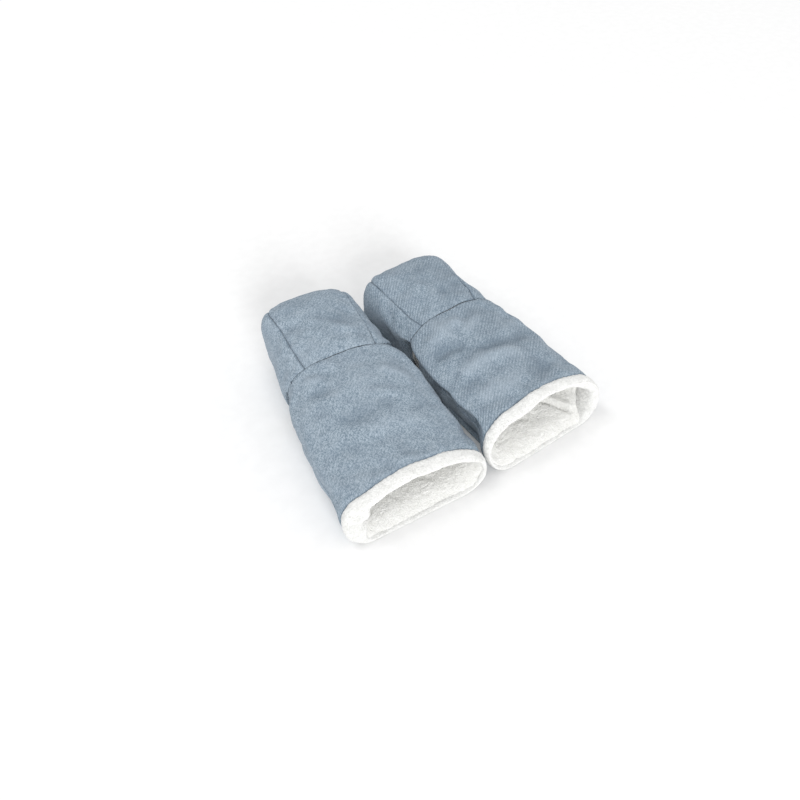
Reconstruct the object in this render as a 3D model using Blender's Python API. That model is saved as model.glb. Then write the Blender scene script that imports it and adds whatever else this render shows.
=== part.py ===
"""Pair of padded hand mitts for a pram handlebar, lying side by side.

Each mitt is a sewn sleeve with a boxed hood at its toe end. Its outer cloth
is cut in panels, it is wadded, and it is lined with plush that is turned out
as a soft roll round the cuff. The handlebar crosses between hood and sleeve
through a slot in each side. The hood swings up about the cross seam on top,
so that the bar can be laid in from below, and its under flap closes beneath
the sleeve with a hook tape and a loop tape.

Metres, +Z up. Toes point towards +Y, cuffs towards -Y, the mitts rest on z=0.
Inside a mitt's own frame x runs across it, y from the cuff mouth to the toe.
"""
import math

import bmesh
import bpy
from mathutils import Vector

# ----------------------------------------------------------------------
# Driving dimensions (metres, degrees)
# ----------------------------------------------------------------------
MITT_LENGTH = 0.300          # cuff mouth to toe, along the mitt
JOIN_Y = 0.188               # cross seam between sleeve and hood
TOE_RADIUS = 0.026           # rounding of the hood's far end
TOE_Y = MITT_LENGTH - TOE_RADIUS
TOE_ANGLES = (0.0, 34.0, 64.0)   # rows that carry the toe rounding

CLOTH = 0.0012               # outer cloth
WADDING = 0.0048             # quilting wadding
PLUSH = 0.0036               # lining with its pile
GAP = 0.00035                # clearance between neighbouring pieces

ROLL_LENGTH = 0.0158         # plush roll at the cuff, along the mitt
ROLL_THICK = 0.0145          # and across its wall
BODY_START = ROLL_LENGTH + GAP

CUFF_LEAN = 0.30             # top lip leans back by this much per height
LEAN_FADE = 0.130            # lean has faded out here

SLOT_LOW = 0.002             # handlebar slot, lower and upper end
SLOT_TOP = 0.051
SLOT_HALF = 0.0105           # half of its width where it is widest
UNDER_GAP = 0.0030           # sleeve and hood stand apart underneath by twice this

FLAP_LENGTH = 0.030          # under flap reaches this far behind the cross seam
TAPE_W, TAPE_L, TAPE_T = 0.060, 0.0195, 0.0013
LIFT = CLOTH + 2.0 * TAPE_T + 3.0 * GAP    # sleeve's sole is lifted over flap and tapes
LIFT_FROM, LIFT_TO = 0.130, 0.154

HINGE_Z = 0.0856             # hood's axis, on the cross seam at its crown

# Each mitt as it lies: cuff centre along X, cuff mouth along Y, turn in degrees
# (toes-in), the height at which its cuff stands, by how much the mouth's
# outboard and inboard ends reach further out, and by how much either side of the
# body is slimmer than the stations below
LEFT = {"x": -0.0897, "y": -0.1490, "turn": -3.9, "cuff": 0.0550, "out": 0.0070, "in": 0.0000, "slim": 0.0}
RIGHT = {"x": 0.0909, "y": -0.1502, "turn": 5.6, "cuff": 0.0660, "out": 0.0000, "in": -0.0060, "slim": 0.0038}

# (y, half width, share of the rise from cuff height to join height, roundness, shoulder);
# the shoulder is the angle at which the hood's top seams lie on the section
SLEEVE_STATIONS = (
    (0.000, 0.0865, 0.00, 2.20, 47.0),
    (0.050, 0.0852, 0.28, 2.25, 47.0),
    (0.100, 0.0828, 0.62, 2.35, 47.0),
    (0.130, 0.0808, 0.80, 2.40, 49.0),
    (0.160, 0.0777, 0.93, 2.45, 53.0),
    (0.188, 0.0735, 1.00, 2.50, 57.0),
)
JOIN_CROWN = 0.0850
# (y, half width, crown height, roundness, shoulder)
HOOD_STATIONS = (
    (0.188, 0.0735, 0.0850, 2.50, 57.0),
    (0.204, 0.0695, 0.0885, 2.60, 53.5),
    (0.222, 0.0670, 0.0930, 2.75, 50.5),
    (0.240, 0.0642, 0.0960, 2.95, 48.5),
    (0.274, 0.0612, 0.1000, 3.25, 47.0),
    (0.300, 0.0595, 0.0985, 3.25, 47.0),
)
WIDEST = 0.46                # the widest line lies at this share of the height
SOLE = 0.63                  # the flat sole takes this share of the width

N_TOP, N_SIDE, N_SOLE = 6, 6, 6      # columns round a mitt
N_COL = N_TOP + 2 * N_SIDE + N_SOLE
RIGHT_SHOULDER, LEFT_SHOULDER = 0, N_TOP
LEFT_WIDE = LEFT_SHOULDER + 3
LEFT_SOLE = LEFT_SHOULDER + N_SIDE
RIGHT_SOLE = LEFT_SOLE + N_SOLE
RIGHT_WIDE = RIGHT_SOLE + 3

COLOURS = {
    "cloth": ((0.270, 0.345, 0.415, 1.0), 0.92),
    "cloth_under": ((0.240, 0.310, 0.375, 1.0), 0.94),
    "plush": ((0.890, 0.885, 0.850, 1.0), 0.97),
    "wadding": ((0.800, 0.800, 0.790, 1.0), 0.98),
    "tape": ((0.170, 0.215, 0.265, 1.0), 0.85),
}


# ----------------------------------------------------------------------
# Shape of a mitt
# ----------------------------------------------------------------------
def smooth(t):
    t = min(1.0, max(0.0, t))
    return t * t * (3.0 - 2.0 * t)


def station(y, pose):
    """Half width, crown height, roundness and shoulder angle at y, for a mitt that lies as pose says."""
    if y <= JOIN_Y:
        cuff = pose["cuff"]
        rows = [(p, w, cuff + (JOIN_CROWN - cuff) * k, n, s) for p, w, k, n, s in SLEEVE_STATIONS]
        slim = pose["slim"] * smooth(y / 0.045)
    else:
        rows = HOOD_STATIONS
        slim = pose["slim"] * (1.0 - smooth((y - JOIN_Y) / 0.020))
    y = min(max(y, rows[0][0]), rows[-1][0])
    for a, b in zip(rows, rows[1:]):
        if y <= b[0]:
            t = (y - a[0]) / (b[0] - a[0])
            half_w, crown, n, shoulder = (p + (q - p) * t for p, q in zip(a[1:], b[1:]))
            return half_w - slim, crown, n, shoulder


def powc(v, e):
    return math.copysign(abs(v) ** e, v)


def section(y, inset, lift, pose):
    """Closed outline at y, set in by inset: right shoulder, top, left side, sole, right side."""
    half_w, crown, n, shoulder = station(y, pose)
    wide_z = WIDEST * crown
    a = half_w - inset
    up = crown - wide_z - inset
    low = wide_z - lift - inset
    sole = SOLE * a
    pts = []
    for i in range(N_TOP + 1):                       # over the top
        phi = math.radians(shoulder + (180.0 - 2.0 * shoulder) * i / N_TOP)
        pts.append((a * powc(math.cos(phi), 2.0 / n), wide_z + up * powc(math.sin(phi), 2.0 / n)))
    for k in (0.66, 0.32, 0.0):                      # down to the widest line
        phi = math.radians(k * shoulder)
        pts.append((-a * powc(math.cos(phi), 2.0 / n), wide_z + up * powc(math.sin(phi), 2.0 / n)))
    for k in (30.0, 60.0, 90.0):                     # round to the sole
        phi = math.radians(k)
        out = (a - sole) * powc(max(0.0, math.cos(phi)), 0.91) if k < 90.0 else 0.0
        pts.append((-(sole + out), wide_z - low * powc(math.sin(phi), 0.91)))
    for i in range(1, N_SOLE + 1):                   # flat sole
        pts.append((-sole + 2.0 * sole * i / N_SOLE, wide_z - low))
    for i in range(1, N_SIDE):                       # right side mirrors the left one
        x, z = pts[LEFT_SOLE - i]
        pts.append((-x, z))
    return pts


def lean(x, y, z, pose):
    """The cuff's top lip lies further back than its lower lip, and its mouth is cut askew."""
    side = 1.0 if pose["x"] > 0.0 else -1.0
    t = 0.5 + 0.5 * side * x / SLEEVE_STATIONS[0][1]
    reach = pose["in"] + (pose["out"] - pose["in"]) * t
    return Vector((x, y + (CUFF_LEAN * z - reach) * (1.0 - smooth(y / LEAN_FADE)), z))


def slot_half(col):
    """Half of the space between sleeve and hood at this column."""
    _, z = section(JOIN_Y, 0.0, 0.0, LEFT)[col % N_COL]
    if LEFT_SOLE <= col % N_COL <= RIGHT_SOLE:
        return UNDER_GAP
    mid, half = 0.5 * (SLOT_LOW + SLOT_TOP), 0.5 * (SLOT_TOP - SLOT_LOW)
    t = 1.0 - ((z - mid) / half) ** 2
    base = 0.5 * GAP if z > mid else UNDER_GAP
    return max(base, SLOT_HALF * t ** 0.4) if t > 0.0 else base


SLOT = [slot_half(c) for c in range(N_COL)]


def sole_lift(y):
    return LIFT * smooth((y - LIFT_FROM) / (LIFT_TO - LIFT_FROM))


SLEEVE_ROWS = (BODY_START, 0.046, 0.082, 0.112, 0.130, 0.143, 0.154, 0.171, JOIN_Y)
HOOD_ROWS = (JOIN_Y, 0.208, 0.236, TOE_Y)


def sleeve_row(k, inset, pose):
    """Ring of points of the sleeve's row k, at one depth below the outer face."""
    y0 = SLEEVE_ROWS[k]
    pull = smooth((y0 - 0.143) / (JOIN_Y - 0.143))
    ring = []
    for c in range(N_COL):
        y = y0 - SLOT[c] * pull
        x, z = section(y, inset, sole_lift(y), pose)[c]
        ring.append(lean(x, y, z, pose))
    return ring


def hood_row(k, inset, pose):
    """Ring of points of the hood's row k: straight rows first, then the toe rounding."""
    ring = []
    if k < len(HOOD_ROWS) - 1:
        y0 = HOOD_ROWS[k]
        pull = 1.0 - smooth((y0 - JOIN_Y) / 0.045)
        for c in range(N_COL):
            y = y0 + SLOT[c] * pull
            x, z = section(y, inset, 0.0, pose)[c]
            ring.append(Vector((x, y, z)))
        return ring
    a = math.radians(TOE_ANGLES[k - (len(HOOD_ROWS) - 1)])
    r = TOE_RADIUS - inset
    y = TOE_Y + r * math.sin(a)
    for x, z in section(TOE_Y, inset + r * (1.0 - math.cos(a)), 0.0, pose):
        ring.append(Vector((x, y, z)))
    return ring


N_HOOD = len(HOOD_ROWS) - 1 + len(TOE_ANGLES)


def toe_cap(inset, pose):
    """Grid that closes the toe: N_SIDE rows from the top edge down to the sole edge."""
    rim = hood_row(N_HOOD - 1, inset, pose)
    tip = MITT_LENGTH - inset
    top = [rim[c] for c in range(0, N_TOP + 1)]                        # right to left
    sole = [rim[RIGHT_SOLE - c] for c in range(0, N_SOLE + 1)]         # right to left
    right = [rim[(N_COL - r) % N_COL] for r in range(N_SIDE + 1)]      # down the right edge
    left = [rim[LEFT_SHOULDER + r] for r in range(N_SIDE + 1)]         # down the left edge
    grid = []
    for r in range(N_SIDE + 1):
        v = r / N_SIDE
        row = []
        for c in range(N_TOP + 1):
            u = c / N_TOP
            p = (top[c] * (1 - v) + sole[c] * v + right[r] * (1 - u) + left[r] * u
                 - (right[0] * (1 - u) * (1 - v) + left[0] * u * (1 - v)
                    + right[-1] * (1 - u) * v + left[-1] * u * v))
            bulge = (1.0 - (2 * u - 1) ** 2) * (1.0 - (2 * v - 1) ** 2)
            row.append(Vector((p.x, p.y + (tip - p.y) * math.sqrt(max(0.0, bulge)), p.z)))
        grid.append(row)
    return grid


# ----------------------------------------------------------------------
# Mesh helpers
# ----------------------------------------------------------------------
def material(name):
    mat = bpy.data.materials.get(name)
    if mat is None:
        mat = bpy.data.materials.new(name)
        mat.use_nodes = True
        shader = mat.node_tree.nodes["Principled BSDF"]
        colour, rough = COLOURS[name]
        shader.inputs["Base Color"].default_value = colour
        shader.inputs["Roughness"].default_value = rough
        shader.inputs["Metallic"].default_value = 0.0
        mat.diffuse_color = colour
    return mat


def add_object(name, mesh, mat, parent, coll):
    mesh.materials.append(material(mat))
    mesh.shade_smooth()
    mesh.set_sharp_from_angle(angle=math.radians(50.0))
    obj = bpy.data.objects.new(name, mesh)
    coll.objects.link(obj)
    obj.parent = parent
    return obj


def mesh_from(name, verts, quads, offset):
    """Closed mesh of the quads, each cut along the same diagonal, in a frame moved by offset."""
    bm = bmesh.new()
    vs = [bm.verts.new(v - offset) for v in verts]
    for a, b, c, d in quads:
        for tri in ((a, b, c), (a, c, d)):
            if len(set(tri)) == 3:
                bm.faces.new([vs[i] for i in tri])
    bmesh.ops.recalc_face_normals(bm, faces=bm.faces)
    if bm.calc_volume(signed=True) < 0.0:
        bmesh.ops.reverse_faces(bm, faces=bm.faces)
    mesh = bpy.data.meshes.new(name)
    bm.to_mesh(mesh)
    bm.free()
    return mesh


def grid_solid(name, outer, inner, offset):
    """Panel of cloth: an outer and an inner grid of points, joined round their edge."""
    rows, cols = len(outer), len(outer[0])
    verts = [p for row in outer for p in row] + [p for row in inner for p in row]
    n = rows * cols
    o = lambda r, c: r * cols + c
    quads = []
    for r in range(rows - 1):
        for c in range(cols - 1):
            quads.append((o(r, c), o(r, c + 1), o(r + 1, c + 1), o(r + 1, c)))
            quads.append((n + o(r, c), n + o(r + 1, c), n + o(r + 1, c + 1), n + o(r, c + 1)))
    edge = ([o(0, c) for c in range(cols)] + [o(r, cols - 1) for r in range(1, rows)]
            + [o(rows - 1, c) for c in range(cols - 2, -1, -1)] + [o(r, 0) for r in range(rows - 2, 0, -1)])
    for a, b in zip(edge, edge[1:] + edge[:1]):
        quads.append((a, n + a, n + b, b))
    return mesh_from(name, verts, quads, offset)


def tube_solid(name, outer, inner, offset):
    """Open tube: outer and inner rings, joined at both ends."""
    rows, cols = len(outer), len(outer[0])
    verts = [p for row in outer for p in row] + [p for row in inner for p in row]
    n = rows * cols
    quads = []
    for r in range(rows - 1):
        for c in range(cols):
            d = (c + 1) % cols
            quads.append((r * cols + c, r * cols + d, (r + 1) * cols + d, (r + 1) * cols + c))
            quads.append((n + r * cols + c, n + (r + 1) * cols + c, n + (r + 1) * cols + d, n + r * cols + d))
    for c in range(cols):
        d = (c + 1) % cols
        quads.append((c, n + c, n + d, d))
        e = (rows - 1) * cols
        quads.append((e + c, e + d, n + e + d, n + e + c))
    return mesh_from(name, verts, quads, offset)


def hood_skin(inset, pose):
    """Vertices and quads of one face of the hood, open at the rear: rings, then the toe cap."""
    rings = [hood_row(k, inset, pose) for k in range(N_HOOD)]
    verts = [p for ring in rings for p in ring]
    quads = []
    for r in range(N_HOOD - 1):
        for c in range(N_COL):
            d = (c + 1) % N_COL
            quads.append((r * N_COL + c, r * N_COL + d, (r + 1) * N_COL + d, (r + 1) * N_COL + c))
    cap = toe_cap(inset, pose)
    base = (N_HOOD - 1) * N_COL
    index = {}
    for r in range(N_SIDE + 1):
        for c in range(N_TOP + 1):
            if r == 0:
                index[r, c] = base + c
            elif r == N_SIDE:
                index[r, c] = base + RIGHT_SOLE - c
            elif c == 0:
                index[r, c] = base + N_COL - r
            elif c == N_TOP:
                index[r, c] = base + LEFT_SHOULDER + r
            else:
                index[r, c] = len(verts)
                verts.append(cap[r][c])
    for r in range(N_SIDE):
        for c in range(N_TOP):
            quads.append((index[r, c], index[r, c + 1], index[r + 1, c + 1], index[r + 1, c]))
    return verts, quads


def hood_shell(name, depth_out, depth_in, pose, offset):
    """Pocket between two depths, open at the rear."""
    va, qa = hood_skin(depth_out, pose)
    vb, qb = hood_skin(depth_in, pose)
    n = len(va)
    quads = list(qa) + [(n + a, n + d, n + c, n + b) for a, b, c, d in qb]
    for c in range(N_COL):
        d = (c + 1) % N_COL
        quads.append((c, n + c, n + d, d))
    return mesh_from(name, va + vb, quads, offset)


def towards(p, q, dist):
    """The point dist away from p on the way to q."""
    step = q - p
    return p + step * min(0.45, dist / max(step.length, 1e-6))


def trim_columns(row, dist):
    """Same row with both of its end points drawn in, which leaves the seam's clearance."""
    row = list(row)
    row[0], row[-1] = towards(row[0], row[1], dist), towards(row[-1], row[-2], dist)
    return row


# ----------------------------------------------------------------------
# Pieces of one mitt
# ----------------------------------------------------------------------
def columns(ring, first, last):
    return [ring[c % N_COL] for c in range(first, last + 1)]


def sleeve_panel(name, first, last, pose, offset):
    grids = []
    for inset in (0.0, CLOTH):
        grids.append([trim_columns(columns(sleeve_row(k, inset, pose), first, last), 0.5 * GAP)
                      for k in range(len(SLEEVE_ROWS))])
    return grid_solid(name, grids[0], grids[1], offset)


def sleeve_layer(name, depth_out, depth_in, pose, offset):
    outer = [sleeve_row(k, depth_out, pose) for k in range(len(SLEEVE_ROWS))]
    inner = [sleeve_row(k, depth_in, pose) for k in range(len(SLEEVE_ROWS))]
    return tube_solid(name, outer, inner, offset)


def cuff_roll(name, pose, offset, steps=10):
    """Ring with a rounded wall: each column's outline runs round the roll."""
    rings = []
    for i in range(steps):
        a = 2.0 * math.pi * i / steps
        y = 0.5 * ROLL_LENGTH * (1.0 + powc(math.cos(a), 0.8))
        depth = 0.5 * ROLL_THICK * (1.0 - powc(math.sin(a), 0.8))
        rings.append([lean(x, y, z, pose) for x, z in section(y, depth, 0.0, pose)])
    verts = [p for ring in rings for p in ring]
    quads = []
    for i in range(steps):
        j = (i + 1) % steps
        for c in range(N_COL):
            d = (c + 1) % N_COL
            quads.append((i * N_COL + c, i * N_COL + d, j * N_COL + d, j * N_COL + c))
    return mesh_from(name, verts, quads, offset)


def hood_panel(name, pose, offset):
    """Strip that runs over the top, round the toe, along the sole and on as the under flap."""
    grids = []
    for inset in (0.0, CLOTH):
        rows = [columns(hood_row(k, inset, pose), RIGHT_SHOULDER, LEFT_SHOULDER) for k in range(N_HOOD)]
        cap = toe_cap(inset, pose)
        rows += cap[1:-1]
        for k in range(N_HOOD - 1, -1, -1):
            ring = hood_row(k, inset, pose)
            rows.append([ring[RIGHT_SOLE - c] for c in range(N_SOLE + 1)])
        back = rows[-1]
        end_y = JOIN_Y - FLAP_LENGTH
        for y in (JOIN_Y - 0.010, end_y):
            narrow = 0.985 if y > end_y else 0.94
            rows.append([Vector((p.x * narrow, y, p.z)) for p in back])
        grids.append([trim_columns(row, 0.5 * GAP) for row in rows])
    return grid_solid(name, grids[0], grids[1], offset)


def hood_gusset(name, first, last, pose, offset):
    """D-shaped side of the hood between the top seam and the sole seam."""
    grids = []
    for inset in (0.0, CLOTH):
        rows = [trim_columns(columns(hood_row(k, inset, pose), first, last), 0.5 * GAP) for k in range(N_HOOD)]
        rows[-1] = [towards(p, q, 0.7 * GAP) for p, q in zip(rows[-1], rows[-2])]
        grids.append(rows)
    return grid_solid(name, grids[0], grids[1], offset)


def tape(name, mat, z_low, y_mid, parent, coll, offset):
    """Flat fastening tape with softened edges."""
    bm = bmesh.new()
    bmesh.ops.create_cube(bm, size=1.0)
    bmesh.ops.scale(bm, vec=(TAPE_W, TAPE_L, TAPE_T), verts=bm.verts)
    upright = [e for e in bm.edges if abs((e.verts[0].co - e.verts[1].co).z) > 0.5 * TAPE_T]
    bmesh.ops.bevel(bm, geom=upright, offset=0.003, segments=2, affect="EDGES", profile=0.5)
    mesh = bpy.data.meshes.new(name)
    bm.to_mesh(mesh)
    bm.free()
    obj = add_object(name, mesh, mat, parent, coll)
    obj.location = Vector((0.0, y_mid, z_low + 0.5 * TAPE_T)) - offset
    return obj


def build_mitt(side, pose, coll):
    """One mitt, with the name of its side and the pose it lies in."""
    frame = bpy.data.objects.new(side + "_mitt_frame", None)
    frame.location = (pose["x"], pose["y"], 0.0)
    frame.rotation_euler = (0.0, 0.0, math.radians(pose["turn"]))
    coll.objects.link(frame)
    hinge = bpy.data.objects.new(side + "_hood_hinge", None)
    hinge.location = (0.0, JOIN_Y, HINGE_Z)
    hinge.parent = frame
    coll.objects.link(hinge)

    here = Vector((0.0, 0.0, 0.0))
    axis = Vector((0.0, JOIN_Y, HINGE_Z))
    depth_1 = CLOTH + GAP
    depth_2 = depth_1 + WADDING
    depth_3 = depth_2 + GAP
    depth_4 = depth_3 + PLUSH

    # Sleeve
    add_object(side + "_sleeve_top_panel",
               sleeve_panel("top", RIGHT_WIDE - N_COL, LEFT_WIDE, pose, here), "cloth", frame, coll)
    add_object(side + "_sleeve_under_panel",
               sleeve_panel("under", LEFT_WIDE, RIGHT_WIDE, pose, here), "cloth_under", frame, coll)
    add_object(side + "_sleeve_wadding",
               sleeve_layer("wad", depth_1, depth_2, pose, here), "wadding", frame, coll)
    add_object(side + "_sleeve_lining",
               sleeve_layer("lin", depth_3, depth_4, pose, here), "plush", frame, coll)
    add_object(side + "_cuff_roll", cuff_roll("roll", pose, here), "plush", frame, coll)
    tape_y = JOIN_Y - UNDER_GAP - 0.0025 - 0.5 * TAPE_L
    tape(side + "_hook_tape", "tape", CLOTH + TAPE_T + 2.0 * GAP, tape_y, frame, coll, here)

    # Hood
    outboard, inboard = (("left", "right") if pose["x"] < 0.0 else ("right", "left"))
    sides = {"left": (LEFT_SHOULDER, LEFT_SOLE), "right": (RIGHT_SOLE, N_COL)}
    add_object(side + "_hood_panel", hood_panel("strip", pose, axis), "cloth", hinge, coll)
    add_object(side + "_outer_gusset", hood_gusset("gus", *sides[outboard], pose, axis), "cloth", hinge, coll)
    add_object(side + "_inner_gusset", hood_gusset("gus", *sides[inboard], pose, axis), "cloth", hinge, coll)
    add_object(side + "_hood_wadding", hood_shell("wad", depth_1, depth_2, pose, axis), "wadding", hinge, coll)
    add_object(side + "_hood_lining", hood_shell("lin", depth_3, depth_4, pose, axis), "plush", hinge, coll)
    tape(side + "_loop_tape", "tape", CLOTH + GAP, tape_y, hinge, coll, axis)


def main():
    for obj in list(bpy.data.objects):
        bpy.data.objects.remove(obj, do_unlink=True)
    coll = bpy.data.collections.new("pram_hand_mitts")
    bpy.context.scene.collection.children.link(coll)
    for side, pose in (("left", LEFT), ("right", RIGHT)):
        build_mitt(side, pose, coll)


main()
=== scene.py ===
"""Looks of the pair of padded hand mitts: cloth, seams, wadding, plush, tapes, floor, light and camera.

Metres, +Z up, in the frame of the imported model. Every cloth and plush surface is
built on one shape of a mitt, given by a place round it (u, 24 to a turn), a
distance along it (y) and a depth below its outer face.
"""
import math

import bpy
import numpy as np
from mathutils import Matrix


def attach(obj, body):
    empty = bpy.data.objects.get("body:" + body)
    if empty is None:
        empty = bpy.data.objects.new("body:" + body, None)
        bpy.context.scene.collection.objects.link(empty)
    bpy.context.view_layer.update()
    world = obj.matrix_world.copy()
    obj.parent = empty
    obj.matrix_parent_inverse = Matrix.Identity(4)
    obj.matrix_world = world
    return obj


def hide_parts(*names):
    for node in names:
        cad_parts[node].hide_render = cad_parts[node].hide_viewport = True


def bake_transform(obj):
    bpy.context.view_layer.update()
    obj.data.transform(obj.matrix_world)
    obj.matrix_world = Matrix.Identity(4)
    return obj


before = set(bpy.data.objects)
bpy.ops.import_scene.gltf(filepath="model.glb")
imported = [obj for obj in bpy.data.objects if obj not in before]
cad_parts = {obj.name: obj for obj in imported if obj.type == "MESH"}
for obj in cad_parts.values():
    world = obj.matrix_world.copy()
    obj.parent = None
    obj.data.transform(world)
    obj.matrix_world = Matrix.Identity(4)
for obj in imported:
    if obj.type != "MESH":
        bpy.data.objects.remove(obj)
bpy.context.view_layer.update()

# ----------------------------------------------------------------------
# Sizes shared with the construction (metres, degrees)
# ----------------------------------------------------------------------
MITT_LENGTH = 0.300
JOIN_Y = 0.188
TOE_RADIUS = 0.026
TOE_Y = MITT_LENGTH - TOE_RADIUS
CLOTH, WADDING, PLUSH, GAP = 0.0012, 0.0048, 0.0036, 0.00035
ROLL_LENGTH, ROLL_THICK = 0.0158, 0.0145
BODY_START = ROLL_LENGTH + GAP
CUFF_LEAN, LEAN_FADE = 0.30, 0.130
SLOT_LOW, SLOT_TOP, SLOT_HALF, UNDER_GAP = 0.002, 0.051, 0.0105, 0.0030
FLAP_LENGTH = 0.030
TAPE_W, TAPE_L, TAPE_T = 0.060, 0.0195, 0.0013
LIFT = CLOTH + 2.0 * TAPE_T + 3.0 * GAP
LIFT_FROM, LIFT_TO = 0.130, 0.154
HINGE_Z = 0.0856
POSES = {
    "left": {"x": -0.0897, "y": -0.1490, "turn": -3.9, "cuff": 0.0550, "out": 0.0070, "in": 0.0000, "slim": 0.0},
    "right": {"x": 0.0909, "y": -0.1502, "turn": 5.6, "cuff": 0.0660, "out": 0.0000, "in": -0.0060, "slim": 0.0038},
}
JOIN_CROWN = 0.0850
# y, half width, share of the rise to the join, roundness, angle of the shoulder lines
SLEEVE = np.array([(0.000, 0.0865, 0.00, 2.20, 47.0), (0.050, 0.0852, 0.28, 2.25, 47.0), (0.100, 0.0828, 0.62, 2.35, 47.0),
                   (0.130, 0.0808, 0.80, 2.40, 49.0), (0.160, 0.0777, 0.93, 2.45, 53.0), (0.188, 0.0735, 1.00, 2.50, 57.0)])
# y, half width, crown, roundness, angle of the shoulder lines
HOOD = np.array([(0.188, 0.0735, 0.0850, 2.50, 57.0), (0.204, 0.0695, 0.0885, 2.60, 53.5), (0.222, 0.0670, 0.0930, 2.75, 50.5),
                 (0.240, 0.0642, 0.0960, 2.95, 48.5), (0.274, 0.0612, 0.1000, 3.25, 47.0), (0.300, 0.0595, 0.0985, 3.25, 47.0)])
WIDEST, SOLE = 0.46, 0.63
CLOTH_START = 0.0130       # the roll's visible length, where the cloth begins
D1 = CLOTH + GAP
D2 = D1 + WADDING
D3 = D2 + GAP
D4 = D3 + PLUSH
PAD = D1 + 0.0029          # the wadding starts below the seams' grooves
TAPE_Y = JOIN_Y - UNDER_GAP - 0.0025 - 0.5 * TAPE_L


# ----------------------------------------------------------------------
# Small numeric tools
# ----------------------------------------------------------------------
def smooth(t):
    t = np.clip(t, 0.0, 1.0)
    return t * t * (3.0 - 2.0 * t)


def hermite(xs, ys):
    """Monotone cubic through the points, as a function of an array."""
    xs, ys = np.asarray(xs, float), np.asarray(ys, float)
    h = np.diff(xs)
    d = np.diff(ys) / h
    m = np.zeros(len(xs))
    m[0], m[-1] = d[0], d[-1]
    for i in range(1, len(xs) - 1):
        if d[i - 1] * d[i] > 0.0:
            w1, w2 = 2 * h[i] + h[i - 1], h[i] + 2 * h[i - 1]
            m[i] = (w1 + w2) / (w1 / d[i - 1] + w2 / d[i])

    def f(x):
        x = np.clip(x, xs[0], xs[-1])
        k = np.clip(np.searchsorted(xs, x, side="right") - 1, 0, len(h) - 1)
        t = (x - xs[k]) / h[k]
        return ((1 + 2 * t) * (1 - t) ** 2 * ys[k] + t * (1 - t) ** 2 * h[k] * m[k]
                + t * t * (3 - 2 * t) * ys[k + 1] + t * t * (t - 1) * h[k] * m[k + 1])
    return f


def hash3(i, j, k, salt):
    """Repeatable pseudo-random numbers in 0..1 for whole-number cells."""
    h = (i.astype(np.int64) * 73856093) ^ (j.astype(np.int64) * 19349663) ^ (k.astype(np.int64) * 83492791) ^ (salt * 2654435761)
    h = (h ^ (h >> 13)) * 1274126177
    h = (h ^ (h >> 16)) & 0xFFFFFF
    return h.astype(float) / 0xFFFFFF


def value_noise(p, scale, salt=0):
    """Smooth noise in -1..1 at points p, with features of about scale metres."""
    q = np.asarray(p, float) / scale + 100.0
    c = np.floor(q)
    f = q - c
    f = f * f * f * (f * (f * 6 - 15) + 10)
    c = c.astype(np.int64)
    out = 0.0
    for a in (0, 1):
        for b in (0, 1):
            for d in (0, 1):
                w = (f[..., 0] if a else 1 - f[..., 0]) * (f[..., 1] if b else 1 - f[..., 1]) * (f[..., 2] if d else 1 - f[..., 2])
                out = out + w * hash3(c[..., 0] + a, c[..., 1] + b, c[..., 2] + d, salt)
    return 2.0 * out - 1.0


def clumps(p, scale, salt=0):
    """0 in the middle of a clump, rising towards its border, for points p."""
    q = np.asarray(p, float) / scale + 100.0
    c = np.floor(q).astype(np.int64)
    best = np.full(q.shape[:-1], 9.0)
    for a in (-1, 0, 1):
        for b in (-1, 0, 1):
            for d in (-1, 0, 1):
                i, j, k = c[..., 0] + a, c[..., 1] + b, c[..., 2] + d
                x = i + hash3(i, j, k, salt + 1) - q[..., 0]
                y = j + hash3(i, j, k, salt + 2) - q[..., 1]
                z = k + hash3(i, j, k, salt + 3) - q[..., 2]
                best = np.minimum(best, x * x + y * y + z * z)
    return np.sqrt(best)


# ----------------------------------------------------------------------
# Shape of a mitt
# ----------------------------------------------------------------------
sleeve_w, sleeve_k, sleeve_n, sleeve_s = (hermite(SLEEVE[:, 0], SLEEVE[:, i]) for i in (1, 2, 3, 4))
hood_w, hood_c, hood_n, hood_s = (hermite(HOOD[:, 0], HOOD[:, i]) for i in (1, 2, 3, 4))


def station(y, pose):
    """Half width, crown, roundness and shoulder angle at y."""
    if y <= JOIN_Y:
        slim = pose["slim"] * float(smooth(y / 0.045))
        crown = pose["cuff"] + (JOIN_CROWN - pose["cuff"]) * float(sleeve_k(y))
        return float(sleeve_w(y)) - slim, crown, float(sleeve_n(y)), float(sleeve_s(y))
    slim = pose["slim"] * (1.0 - float(smooth((y - JOIN_Y) / 0.020)))
    return float(hood_w(y)) - slim, float(hood_c(y)), float(hood_n(y)), float(hood_s(y))


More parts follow.
